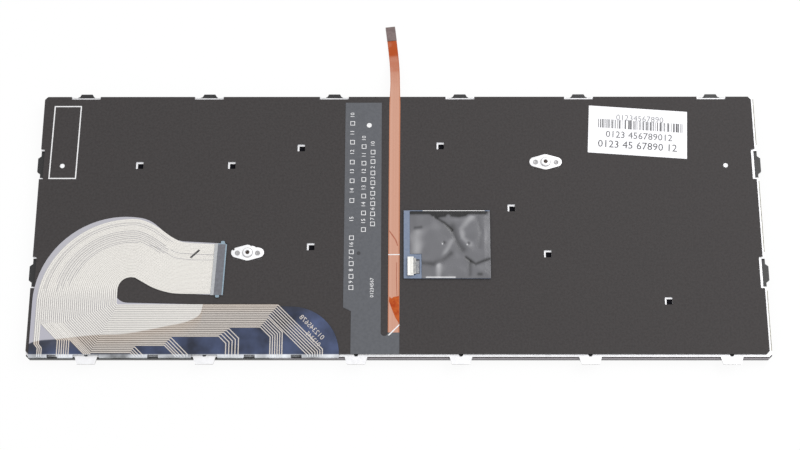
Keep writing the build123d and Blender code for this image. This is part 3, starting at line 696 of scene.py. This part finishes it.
# Strip painted dark along the right edge, partly its burr and partly painted shade beside it.
plates("plate_burr_and_shade", [
    oblong(plate_right - 0.3, plate_right - 0.01, low, high)
    for low, high in ((-54.5, -29.0), (-12.5, 19.0), (35.0, 56.0))
], plate_face - 0.00002, plate_face + 0.00003, burr_and_shade_steel)
plate_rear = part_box("base_plate")[1].y * 1000
root_low, root_high = plate_rear - 0.5, plate_rear + 0.1
plates("hook_roots", [
    [(x - 3.9, root_low), (x + 3.9, root_low), (x + 3.4, root_high), (x - 3.4, root_high)]
    for x in (-134.3, -81.4, -27.7, 26.2, 77.1, 133.9)
], plate_face - 0.0009, plate_face - 0.0001, frame_plastic)


# Light guide: milky acrylic sheet that carries the light from the diodes to the keys. It is cut
# from flat stock and held between the plate and the film.
guide_sheet = grained("guide_sheet", screen(238, 239, 240), screen(226, 228, 231), 0.002, 0.3, 0.05)
dress("light_guide", guide_sheet)


# Back film: matt charcoal polyester glued over the back, with a printed frame at the left for
# a stamp.
back_film = grained("back_film", screen(62, 59, 59), screen(55, 52, 52), 0.0009, 0.62, 0.25, gloss=0.2)
dress("back_film", back_film)
film_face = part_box("back_film")[1].z
white_print = grained("white_print", screen(232, 232, 232), screen(214, 214, 215), 0.0006, 0.5, 0.1)


def ring_of(outer, width):
    """Four strips along the inside of a four-cornered outline in millimetres."""
    middle = Vector((sum(x for x, y in outer) / 4, sum(y for x, y in outer) / 4))
    inner = []
    for x, y in outer:
        inner.append((x + math.copysign(width, middle.x - x), y + math.copysign(width, middle.y - y)))
    return [[outer[n], outer[(n + 1) % 4], inner[(n + 1) % 4], inner[n]] for n in range(4)]


plates(
    "frame_print", ring_of([(-147.6, 52.8), (-135.9, 52.8), (-136.3, 19.6), (-148.0, 19.6)], 0.5),
    film_face, film_face + 0.00002, white_print,
)


# Backlight flex: a strip of polyimide under a grey cover coat, with a hole to hang it by in the
# plating line. White check boxes with plain numbers mark its test points.
def disc(x, y, radius, corners=28):
    """Round outline in millimetres."""
    turns = [math.tau * n / corners for n in range(corners)]
    return [(x + radius * math.cos(turn), y + radius * math.sin(turn)) for turn in turns]


flex_coat = grained("flex_coat", screen(86, 88, 93), screen(80, 82, 87), 0.0012, 0.5, 0.12, gloss=0.4)
dress("led_flex", flex_coat)
dress("leds", grained("led_body", screen(236, 232, 205), screen(222, 214, 170), 0.0008, 0.35, 0.1))
flex_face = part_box("led_flex")[1].z
box_columns = (
    (-19.7, (44.7, 36.1, 27.1, 18.7, 9.9, -6.5, -12.6, -17.7, -23.2, -28.0)),
    (-14.75, (34.1, 26.6, 19.3, 11.9, 4.4, -2.9)),
    (-10.95, (31.6, 27.3, 22.2, 17.8, 13.1, 8.5, 4.0, -0.4)),
)
box_places = [(x, y) for x, column in box_columns for y in column]
tree, start, names = tree_with("check_boxes", ("Size", "Line"))
square = add_node(tree, "GeometryNodeCurvePrimitiveQuadrilateral", {
    "Width": start["Size"], "Height": start["Size"],
}).outputs["Curve"]
section = add_node(tree, "GeometryNodeCurvePrimitiveQuadrilateral", {
    "Width": start["Line"], "Height": 0.00002,
}).outputs["Curve"]
outline = add_node(tree, "GeometryNodeCurveToMesh", {"Curve": square, "Profile Curve": section}).outputs["Mesh"]
scatter = add_node(tree, "GeometryNodeInstanceOnPoints", {"Points": start["Geometry"], "Instance": outline})
end_tree(tree, scatter.outputs["Instances"], white_print)
box_points = bpy.data.meshes.new("box_points")
box_points.from_pydata([(x / 1000, y / 1000, flex_face + 0.00001) for x, y in box_places], [], [])
grown("check_boxes", box_points, tree, names, {"Size": 0.0017, "Line": 0.0004})

numbers = bmesh.new()
for x, column in box_columns:
    for place, (upper, lower) in enumerate(zip((column[0] + 7.5, *column), column)):
        room = upper - lower
        turned = Matrix.Translation((x / 1000, (lower + room / 2) / 1000, flex_face + 0.00001))
        turned @= Matrix.Rotation(math.radians(90), 4, "Z")
        print_on(numbers, f"{10 + place}" if room > 6 else f"{place}", 0.0024, turned, 0)
turned = Matrix.Translation((-0.011, -0.028, flex_face + 0.00001)) @ Matrix.Rotation(math.radians(90), 4, "Z")
print_on(numbers, "01234567", 0.0021, turned, 0)
flex_numbers = piece_of("flex_numbers", numbers, white_print)
fixed(flex_numbers)
plates("hole_print", [disc(-12.6, 43.8, 1.05)], film_face, film_face + 0.00017, white_print)
dark_print = grained("dark_print", screen(44, 45, 48), screen(54, 55, 58), 0.0008, 0.5, 0.1)
plates("flex_spot", [disc(-16.65, -13.2, 0.8)], flex_face, flex_face + 0.00002, dark_print)


# Backlight ribbon: the flex's free arm, bare copper-backed polyimide that shows salmon between
# paler edges. It lies flat on the film, runs off the rear edge and dips to the table. Where it
# bends down towards its end, painted shade darkens it in blotches to deep orange.
ribbon_points = (
    (-0.00205, -0.0470, 0.005575), (-0.00180, 0.0510, 0.005575), (-0.00150, 0.0650, 0.005575),
    (-0.00215, 0.0780, 0.000175), (-0.00387, 0.09222, 0.000175),
)
route = bpy.data.curves.new("ribbon_route", "CURVE")
route.dimensions = "3D"
spline = route.splines.new("NURBS")
spline.points.add(len(ribbon_points) - 1)
for point, place in zip(spline.points, ribbon_points):
    point.co = (*place, 1.0)
spline.order_u = 3
spline.use_endpoint_u = True
spline.resolution_u = 24
guide = placed("ribbon_route", route)
depsgraph = bpy.context.evaluated_depsgraph_get()
route_mesh = bpy.data.meshes.new_from_object(guide.evaluated_get(depsgraph))
ribbon_line = [vertex.co.copy() for vertex in route_mesh.vertices]
bpy.data.objects.remove(guide)


def tape_along(name, line, width_at, low, high, material):
    """Flat band along a line, with its width across in U and the distance along it in V, in metres."""
    shape = bmesh.new()
    uv = shape.loops.layers.uv.new("along")
    rows = []
    distance = 0.0
    for n, point in enumerate(line):
        ahead = (line[min(n + 1, len(line) - 1)] - line[max(n - 1, 0)]).normalized()
        across = Vector((ahead.y, -ahead.x, 0)).normalized()
        lift = across.cross(ahead).normalized()
        if n:
            distance += (point - line[n - 1]).length
        half = width_at(distance) / 2
        corners = []
        for side, height in ((-1, low), (1, low), (1, high), (-1, high)):
            corners.append(shape.verts.new(point + across * side * half + lift * height))
        rows.append((corners, distance))
    for (first, start_at), (second, end_at) in zip(rows, rows[1:]):
        for n in range(4):
            m = (n + 1) % 4
            face = shape.faces.new((first[n], first[m], second[m], second[n]))
            for loop in face.loops:
                edge = first if loop.vert in first else second
                corner = edge.index(loop.vert)
                loop[uv].uv = (1.0 if corner in (1, 2) else 0.0, start_at if edge is first else end_at)
    shape.faces.new(rows[0][0][::-1])
    shape.faces.new(rows[-1][0])
    return built(name, shape, material), distance


ribbon_film = bpy.data.materials.new("ribbon_film")
ribbon_film.use_nodes = True
tree = ribbon_film.node_tree
place = add_node(tree, "ShaderNodeUVMap", {}, uv_map="along").outputs["UV"]
axes = add_node(tree, "ShaderNodeSeparateXYZ", {"Vector": place}).outputs
across = ramp(
    tree, axes["X"], (0.0, screen(180, 116, 84)), (0.06, screen(182, 126, 101)), (0.12, screen(195, 149, 129)),
    (0.46, screen(189, 140, 119)), (0.5, screen(196, 150, 130)), (0.54, screen(190, 141, 120)),
    (0.86, screen(193, 145, 124)), (0.92, screen(180, 124, 98)), (1.0, screen(180, 112, 80)),
)
# Painted shade: towards the end, where the ribbon bends down, blotches darken it to deep orange.
bend_shade = ramp(tree, reckoned(tree, "DIVIDE", axes["Y"], 0.140), *[
    (position, (value, value, value, 1)) for position, value in (
        (0.0, 0.0), (0.76, 0.0), (0.83, 0.25), (0.838, 0.5), (0.893, 0.6), (0.9, 1.0), (1.0, 0.95),
    )
])
where = tree.nodes.new("ShaderNodeTexCoord").outputs["Object"]
blotch = add_node(tree, "ShaderNodeTexNoise", {"Vector": where, "Scale": 260.0, "Detail": 3.0}).outputs["Fac"]
mottle_and_shade = reckoned(
    tree, "MULTIPLY", bend_shade, share_of(tree, blotch, 0.38, 0.56, 0.82, interpolation_type="SMOOTHSTEP"),
)
bump = add_node(tree, "ShaderNodeBump", {"Height": blotch, "Strength": 0.15, "Distance": 0.0003})
feed(tree.nodes["Principled BSDF"], {
    "Base Color": mixed(tree, mottle_and_shade, across, screen(164, 68, 10)), "Normal": bump.outputs["Normal"],
    "Roughness": 0.38, "Specular IOR Level": 0.25,
})

ribbon, ribbon_length = tape_along(
    "ribbon", ribbon_line, lambda along: 0.0047 - 0.0006 * min(max((along - 0.100) / 0.010, 0), 1),
    -0.000075, 0.000075, ribbon_film,
)
fixed(ribbon)
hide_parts("backlight_ribbon")

contact_film = grained("contact_film", screen(100, 84, 82), screen(118, 102, 100), 0.001, 0.35, 0.2)
end_line = []
left_over = 0.0075
for n in range(len(ribbon_line) - 1, 0, -1):
    end_line.insert(0, ribbon_line[n])
    left_over -= (ribbon_line[n] - ribbon_line[n - 1]).length
    if left_over < 0:
        break
contact_end, _ = tape_along(
    "contact_end", end_line, lambda along: 0.0042, 0.000075, 0.000275, contact_film,
)
fixed(contact_end)
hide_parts("ribbon_stiffener")
bare_copper = grained("bare_copper", screen(180, 84, 26), screen(158, 56, 2), 0.0022, 0.35, 0.2, gloss=0.2)
# Painted shade: this orange darkens lines along the folds of the flat ribbon.
crease_shade_orange = grained("crease_shade_orange", screen(166, 98, 72), screen(150, 78, 52), 0.0008, 0.4, 0.2)
for name, outlines, material in (
    ("ribbon_copper", [[
        (-3.99, -33.7), (-3.75, -31.79), (-2.93, -32.64), (-2.11, -32.0), (0.12, -31.58), (0.25, -43.22),
        (-1.27, -40.9), (-2.79, -37.1),
    ]], bare_copper),
    ("ribbon_folds", [
        [
            (-4.2, -3.4), (-3.75, -3.3), (-1.9, -5.9), (-0.9, -7.6), (-0.2, -9.9), (-0.65, -9.95), (-1.45, -7.6),
            (-2.5, -6.0),
        ],
        [(-0.65, -17.2), (-0.95, -17.2), (-1.05, -22.6), (-0.85, -31.5), (-0.55, -31.5), (-0.75, -22.6)],
    ], crease_shade_orange),
    ("ribbon_marks", [
        [(-4.45, -48.2), (-3.8, -48.2), (0.3, -44.1), (0.3, -43.4)],
        oblong(-4.35, 0.35, -14.0, -13.6),
    ], white_print),
):
    plates(name, outlines, 0.00564, 0.00567, material)


# Nut plates: thick nickel-plated steel lenses with a threaded boss pressed in, each held by two
# rivets whose heads show as small dished discs. Painted shade lies as a grey ring round the foot
# of each boss and as a dark plug in its hole. The film is cut close round them, and a few
# shreds of its edge lie over their rims.
nut_metal = grained("nut_metal", screen(244, 244, 245), screen(234, 234, 236), 0.0012, 0.4, 0.05, metallic=0.3)
rivet_metal = grained("rivet_metal", screen(166, 165, 166), screen(146, 145, 146), 0.0006, 0.35, 0.1, metallic=0.3)
hole_shade_dark = grained("hole_shade_dark", screen(66, 52, 44), screen(44, 36, 32), 0.0004, 0.4, 0.3, metallic=0.4)
head_profile = ((1.05, -0.1), (1.05, 0.1), (0.95, 0.2), (0.75, 0.22), (0.5, 0.12), (0.2, 0.1))
shape = bmesh.new()
heads_and_boss_shade = bmesh.new()
hole_plug_shade = bmesh.new()
collars = []
for (x, y), rivets in (
    ((62.1, 27.2), ((57.9, 27.1), (66.6, 27.0))), ((-62.8, -12.9), ((-67.0, -13.1), (-58.6, -13.1))),
):
    lens = []
    for n in range(72):
        way = Vector((math.cos(math.tau * n / 72), math.sin(math.tau * n / 72)))
        near_end = abs(way.x) * 4.7 + 2.1 > 3.4
        lens.append(way * 2.1 + Vector((math.copysign(4.7, way.x), 0)) if near_end else way * 3.4)
    for n, point in enumerate(lens):
        after = lens[(n + 1) % len(lens)]
        collars.append([(x + spot.x * share, y + spot.y * share) for spot, share in (
            (point, 1.0), (after, 1.0), (after, 1.14), (point, 1.14),
        )])
    top = film_face + 0.00012
    skin(shape, [
        [((x + point.x * share) / 1000, (y + point.y * share) / 1000, z) for point in lens]
        for share, z in ((1.0, film_face - 0.0004), (1.0, top - 0.00004), (0.985, top))
    ])
    # Painted shade: a grey ring round the foot of the boss, in the rivets' grey.
    skin(heads_and_boss_shade, [[(px / 1000, py / 1000, top + z) for px, py in disc(x, y, 2.2)] for z in (-0.0001, 0.00001)])
    for group, (at_x, at_y), profile in (
        (shape, (x, y), ((1.95, 0.0), (1.9, 0.5), (1.8, 0.75), (1.6, 0.85), (0.95, 0.85), (0.85, 0.7), (0.85, -0.2))),
        # Painted shade: a dark plug fills the boss's hole.
        (hole_plug_shade, (x, y), ((0.84, -0.15), (0.84, 0.3), (0.5, 0.32))),
        (heads_and_boss_shade, rivets[0], head_profile),
        (heads_and_boss_shade, rivets[1], head_profile),
    ):
        skin(group, [
            [(px / 1000, py / 1000, top + rise / 1000) for px, py in disc(at_x, at_y, radius)]
            for radius, rise in profile
        ])
for name, group, material, slot, node in (
    ("nut_lenses", shape, nut_metal, "nut_metal", "nut_plates"),
    ("rivet_heads", heads_and_boss_shade, rivet_metal, "rivet_metal", "plate_rivets"),
    ("nut_threads", hole_plug_shade, hole_shade_dark, "nut_metal", "nut_plates"),
):
    metal = piece_of(name, group, material)
    fixed(metal)
    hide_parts(node)
plates("film_collars", collars, film_face - 0.0001, film_face + 0.00004, back_film)
plates("film_shreds", [
    disc(-68.7, -11.4, 0.5, 12), [(-61.9, -9.5), (-61.2, -9.5), (-60.9, -10.0), (-61.5, -10.0)],
    [(-59.7, -10.1), (-58.8, -10.3), (-58.7, -10.6), (-59.5, -10.6)],
], film_face + 0.0002, film_face + 0.00034, back_film)


# Pointing stick: a steel strain-gauge post through the plate, with a soft dark rubber cap between
# the keys, domed and roughened so that a fingertip holds on it.
sensor_metal = grained(
    "sensor_metal", screen(186, 186, 190), screen(160, 160, 164), 0.0008, 0.35, 0.15, metallic=1.0,
)
dress("stick_sensor", sensor_metal)
stick_rubber = grained("stick_rubber", screen(52, 52, 54), screen(40, 40, 42), 0.0003, 0.8, 0.8)
reach = (stick_high.x - stick_low.x) / 2
shape = bmesh.new()
skin(shape, [
    circle(stick, share * reach, stick_low.z + rise * (stick_high.z - stick_low.z), 32) for share, rise in (
        (0.9, 1.0), (0.93, 0.7), (1.0, 0.45), (1.0, 0.28), (0.92, 0.14), (0.75, 0.05), (0.5, 0.0), (0.25, 0.01),
    )
])
stick_dome = piece_of("stick_dome", shape, stick_rubber)
fixed(stick_dome)
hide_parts("stick_cap")


# Stick board: pale blue circuit laminate glued on the film behind the stick, routed to a plain
# oblong. It carries what reads the stick.
board_laminate = grained("board_laminate", screen(114, 126, 147), screen(106, 119, 142), 0.0012, 0.4, 0.15)
dress("stick_board", board_laminate)


# Board tape: thin glossy grey tape pressed over the board's parts. It bulges over them in two
# pillows and creases between. Painted shade darkens its creases and its rear edge, painted
# highlights lighten its ridges and dimples, and a white strip lies along the board's rear edge.
tape_low, tape_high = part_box("board_tape")
board_low, board_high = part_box("stick_board")
tape_relief_and_shading = (
    (((0.365, 0.105), (0.473, 0.19), (0.554, 0.293)), -0.12, 0.65, -0.36),
    (((0.56, 0.24), (0.59, 0.36), (0.62, 0.46), (0.68, 0.575)), -0.16, 1.5, -0.24),
    (((0.784, 0.10), (0.662, 0.276), (0.676, 0.414), (0.757, 0.50)), 0.10, 1.3, 0.13),
    (((0.216, 0.776), (0.338, 0.793), (0.432, 0.741), (0.54, 0.638)), -0.14, 1.1, -0.26),
    (((0.39, 0.80), (0.47, 0.66), (0.56, 0.44)), 0.08, 1.1, 0.12),
    (((0.716, 0.697), (0.824, 0.793), (0.905, 0.752), (0.986, 0.717)), -0.12, 0.65, -0.36),
    (((0.13, 0.26), (0.20, 0.25)), -0.08, 0.6, -0.26),
    (((0.155, 0.34), (0.15, 0.60)), 0.06, 2.2, 0.14),
    (((0.40, 0.80), (0.40, 0.98)), 0.05, 1.2, 0.15),
    (((0.76, 0.77), (0.76, 0.95)), -0.08, 0.9, -0.2),
    (((0.86, 0.94), (0.89, 0.94)), -0.04, 0.7, -0.3),
    (((0.86, 0.12), (0.90, 0.34), (0.87, 0.55)), -0.08, 1.1, -0.08),
    (((0.07, 0.03), (0.95, 0.03)), -0.05, 0.9, -0.6),
    (((0.34, 0.06), (0.40, 0.08), (0.47, 0.07)), -0.05, 0.9, -0.55),
    (((0.56, 0.07), (0.64, 0.08), (0.71, 0.06)), -0.05, 0.9, -0.55),
    (((0.465, 0.479), (0.466, 0.48)), -0.20, 0.6, -0.30),
    (((0.747, 0.491), (0.748, 0.492)), -0.20, 0.6, -0.30),
    (((0.447, 0.497), (0.448, 0.498)), 0.0, 0.3, 0.45),
    (((0.733, 0.509), (0.734, 0.51)), 0.0, 0.3, 0.45),
    (((0.26, 0.985), (0.59, 0.985)), 0.0, 0.22, 0.6),
)


def tape_at(x, y):
    """Rise of the tape above the board at a point, in millimetres, and its painted shade and highlight there, as a
    lightness.
    """
    across, down = (board_high.x - board_low.x) * 1000, (board_high.y - board_low.y) * 1000
    u, v = (x - board_low.x) * 1000 / across, (board_high.y - y) * 1000 / down
    spot = Vector((x * 1000, y * 1000, 0))
    rise = 0.14 + 0.06 * noise.noise(spot * 0.16)
    tone = 0.49 + 0.06 * noise.noise(spot * 0.23)
    for centre, size in (((0.36, 0.45), 0.26), ((0.80, 0.40), 0.20)):
        away = math.hypot((u - centre[0]) * 1.2, v - centre[1])
        rise += 0.28 * math.exp(-(away / size) ** 2)
    here = Vector((u * across, v * down))
    # Each feature paints shade into the tone where its shade is negative and highlight where it is positive.
    for line, depth, spread, shade in tape_relief_and_shading:
        nearest = 1e9
        for (ua, va), (ub, vb) in zip(line, line[1:]):
            a = Vector((ua * across, va * down))
            b = Vector((ub * across, vb * down))
            t = min(max((here - a).dot(b - a) / (b - a).length_squared, 0), 1)
            nearest = min(nearest, (here - a - (b - a) * t).length)
        swell = math.exp(-(nearest / spread) ** 2)
        rise += depth * swell
        tone += shade * swell
    rim = min(x - tape_low.x, tape_high.x - x, y - tape_low.y, tape_high.y - y) * 1000
    return max(0.04, rise * min(max(rim / 2.5, 0), 1) + 0.04), min(max(tone, 0), 1)


tape_gloss = grained("tape_gloss", screen(92, 93, 96), screen(80, 81, 84), 0.004, 0.25, 0.12)
tree = tape_gloss.node_tree
# Painted shade and highlights: the tape's colour follows its painted tone.
tone = add_node(tree, "ShaderNodeAttribute", {}, attribute_name="tone").outputs["Fac"]
feed(tree.nodes["Principled BSDF"], {"Base Color": ramp(
    tree, tone, (0.05, screen(14, 14, 16)), (0.5, screen(101, 101, 105)), (1.0, screen(214, 214, 216)),
)})
columns, rows = 150, 126
notch_x, notch_y = 0.0096, -0.0136
shape = bmesh.new()
layer = shape.verts.layers.float.new("tone")
grid = {}
for i in range(columns + 1):
    for j in range(rows + 1):
        x = tape_low.x + (tape_high.x - tape_low.x) * i / columns
        y = tape_low.y + (tape_high.y - tape_low.y) * j / rows
        rise, lightness = tape_at(x, y)
        grid[i, j] = shape.verts.new((x, y, tape_low.z + rise / 1000))
        grid[i, j][layer] = lightness
for i in range(columns):
    for j in range(rows):
        corner = grid[i + 1, j].co
        if corner.x > notch_x or grid[i, j + 1].co.y > notch_y:
            shape.faces.new((grid[i, j], grid[i + 1, j], grid[i + 1, j + 1], grid[i, j + 1]))
bmesh.ops.delete(shape, geom=[vertex for vertex in shape.verts if not vertex.link_faces], context="VERTS")
for face in shape.faces:
    face.smooth = True
tape_mesh = bpy.data.meshes.new("tape")
shape.to_mesh(tape_mesh)
shape.free()
tape_mesh.materials.append(tape_gloss)
tape = placed("tape", tape_mesh)
thickness = tape.modifiers.new("thickness", "SOLIDIFY")
thickness.thickness = 0.00004
thickness.offset = -1.0
fixed(tape)
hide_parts("board_tape")
board_width = 36
rim_left, rim_right = (board_low.x * 1000 + share * board_width for share in (0.22, 0.94))
rear = board_high.y * 1000
# A white strip along the board's rear edge.
plates(
    "rear_white_strip", [oblong(rim_left, rim_right, rear - 0.28, rear - 0.04)],
    board_high.z - 0.00005, board_high.z + 0.00012, white_print,
)


# Cable connector: white heat-proof nylon housing with a sliding latch, and tinned contact tails
# soldered to the board along its right side.
connector_plastic = grained("connector_plastic", screen(232, 231, 226), screen(220, 218, 211), 0.0008, 0.45, 0.15)
tree = connector_plastic.node_tree
contact_pitch = 0.0005
_, axes = object_place(tree)
stripe = reckoned(tree, "FRACT", reckoned(tree, "DIVIDE", axes["Y"], contact_pitch))
contacts = reckoned(
    tree, "MULTIPLY", share_of(tree, stripe, 0.34, 0.42), share_of(tree, axes["X"], 0.00600, 0.00606),
)
overlaid(connector_plastic, contacts, screen(62, 66, 74))
dress("board_connector", connector_plastic)
dress("connector_latch", grained("latch_plastic", screen(238, 237, 233), screen(226, 225, 220), 0.0008, 0.4, 0.15))
pad_dark = grained("pad_dark", screen(40, 42, 48), screen(52, 54, 60), 0.0006, 0.4, 0.1)
tin = grained("contact_tin", screen(206, 208, 212), screen(176, 178, 182), 0.0004, 0.3, 0.2, metallic=1.0)
housing_low, housing_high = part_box("board_connector")
pad_left, pad_right = housing_high.x * 1000, housing_high.x * 1000 + 1.5
pad_low, pad_high = housing_low.y * 1000 + 0.2, housing_high.y * 1000 - 0.2
plates(
    "solder_pad", [oblong(pad_left, pad_right, pad_low, pad_high)],
    board_high.z - 0.00002, board_high.z + 0.00001, pad_dark,
)
contact_rows = int((housing_high.y - housing_low.y - 0.0008) / contact_pitch)
tail_points = bpy.data.meshes.new("contact_points")
tail_points.from_pydata([
    (housing_high.x + 0.0006, housing_low.y + 0.0006 + n * contact_pitch, board_high.z + 0.0001)
    for n in range(contact_rows)
], [], [])
tree, start, names = tree_with("contact_tails", ("Length", "Width"))
size = add_node(tree, "ShaderNodeCombineXYZ", {"X": start["Length"], "Y": start["Width"], "Z": 0.0002})
bar = add_node(tree, "GeometryNodeMeshCube", {"Size": size.outputs["Vector"]}).outputs["Mesh"]
scatter = add_node(tree, "GeometryNodeInstanceOnPoints", {"Points": start["Geometry"], "Instance": bar})
end_tree(tree, scatter.outputs["Instances"], tin)
grown("contact_tails", tail_points, tree, names, {"Length": 0.0014, "Width": 0.00022})


# Label: a white paper sticker pressed on at a slight angle, with a row of plain
# bars between rows of plain numbers.
label_paper = grained("label_paper", screen(241, 241, 243), screen(237, 237, 240), 0.0015, 0.55, 0.05)
label_corners = [(80.1, 31.5), (122.0, 28.5), (123.2, 49.9), (81.4, 52.9)]
plates("label", [label_corners], film_face, film_face + 0.0001, label_paper)


def on_label(across, up):
    """Point of the label at shares of its width and height."""
    low = between(across, label_corners[0], label_corners[1])
    high = between(across, label_corners[3], label_corners[2])
    return between(up, low, high)


def label_ink(name, tone):
    """Grey printing ink."""
    return grained(
        name + "_ink", screen(tone, tone, tone + 3), screen(tone + 14, tone + 14, tone + 17), 0.0008, 0.5, 0.1,
    )


pick = random.Random(7)
first, last, low, high = 0.10, 0.955, 0.545, 0.73
for name, tone, short, long, near, far in (
    ("label_bars_dark", 44, 0.004, 0.012, 0.006, 0.05), ("label_bars_light", 156, 0.004, 0.016, 0.004, 0.03),
):
    ink = label_ink(name, tone)
    bars = []
    place = first
    while place < last:
        after = place + min(pick.uniform(short, long), last - place)
        bars.append([on_label(place, low), on_label(after, low), on_label(after, high), on_label(place, high)])
        place = after + pick.uniform(near, far)
    lift = 0.00011 if tone > 100 else 0.000125
    plates(name, bars, film_face + 0.0001, film_face + lift, ink)
tilt = math.atan2(label_corners[1][1] - label_corners[0][1], label_corners[1][0] - label_corners[0][0])
for name, digits, across, up, size, tone in (
    ("label_row_1", "01234567890", 0.52, 0.78, 0.0037, 140),
    ("label_row_2", "0123 456789012", 0.515, 0.41, 0.0042, 84),
    ("label_row_3", "0123 45 67890 12", 0.50, 0.20, 0.0046, 70),
):
    ink = label_ink(name, tone)
    x, y = on_label(across, up)
    turned = Matrix.Translation((x / 1000, y / 1000, film_face + 0.00013)) @ Matrix.Rotation(tilt, 4, "Z")
    row = bmesh.new()
    print_on(row, digits, size, turned, 0)
    label_row = piece_of(name, row, ink)
    fixed(label_row)


# Studio: a white table that keeps the shadow, a broad soft light above, a weak one opposite and
# a plain pale room.
def pale_to_eye(tree):
    """Share of light paths that end at the eye, straight or by way of gloss or glass."""
    path = tree.nodes.new("ShaderNodeLightPath").outputs
    straight = reckoned(tree, "MAXIMUM", path["Is Camera Ray"], path["Is Glossy Ray"])
    return reckoned(tree, "MAXIMUM", straight, path["Is Transmission Ray"])


floor_paint = bpy.data.materials.new("floor_paint")
floor_paint.use_nodes = True
tree = floor_paint.node_tree
paint = tree.nodes["Principled BSDF"]
feed(paint, {"Base Color": (0.86, 0.86, 0.86, 1), "Roughness": 0.9, "Specular IOR Level": 0.0})
glow = add_node(tree, "ShaderNodeEmission", {"Strength": 1.0})
blend = add_node(tree, "ShaderNodeMixShader", {
    "Fac": reckoned(tree, "MULTIPLY", pale_to_eye(tree), 0.92), 1: paint.outputs["BSDF"], 2: glow.outputs["Emission"],
})
feed(tree.nodes["Material Output"], {"Surface": blend.outputs["Shader"]})
floor_mesh = bpy.data.meshes.new("floor")
reach, depth = 6, -0.0001
floor_mesh.from_pydata([
    (-reach, -reach, depth), (reach, -reach, depth), (reach, reach, depth), (-reach, reach, depth),
], [], [(0, 1, 2, 3)])
floor_mesh.materials.append(floor_paint)
floor = placed("floor", floor_mesh)
floor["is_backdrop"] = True

room = bpy.data.worlds.new("room")
bpy.context.scene.world = room
room.use_nodes = True
tree = room.node_tree
direction = tree.nodes.new("ShaderNodeTexCoord").outputs["Generated"]
upward = add_node(tree, "ShaderNodeSeparateXYZ", {"Vector": direction}).outputs["Z"]
feed(tree.nodes["Background"], {
    "Color": ramp(tree, upward, (0.0, (0.42, 0.42, 0.44, 1)), (0.95, (1, 1, 1, 1))), "Strength": 1.0,
})

for name, place, power, width in (
    ("softbox", (0.7, 0.4, 0.9), 8.0, 0.9), ("fill", (-0.6, -0.6, 0.9), 1.2, 0.7),
):
    lamp = bpy.data.lights.new(name, "AREA")
    lamp.energy = power
    lamp.size = width
    light = placed(name, lamp)
    light.location = place
    light.rotation_euler = (Vector((0, 0, 0)) - Vector(place)).to_track_quat("-Z", "Y").to_euler()


# Camera: above the front edge, nearly square to the back.
elevation, turn, tilt = math.radians(72.122), math.radians(0.774), math.radians(-0.752)
back = Vector((math.sin(turn) * math.cos(elevation), -math.cos(turn) * math.cos(elevation), math.sin(elevation)))
right = Vector((math.cos(turn), math.sin(turn), 0))
up = back.cross(right)
right_tilted = right * math.cos(tilt) + up * math.sin(tilt)
up_tilted = up * math.cos(tilt) - right * math.sin(tilt)
lens = bpy.data.cameras.new("camera")
focal_pixels, picture_width = 1520.068, 800
lens.sensor_width = 36.0
lens.lens = focal_pixels * lens.sensor_width / picture_width
lens.clip_start = 0.01
camera = placed("camera", lens)
view = Matrix((right_tilted, up_tilted, back)).transposed().to_4x4()
view.translation = Vector((0.000537, -0.000846, 0.0055)) + back * 0.635010
camera.matrix_world = view
bpy.context.scene.camera = camera
bpy.context.scene.view_settings.view_transform = "Standard"

low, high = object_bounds()
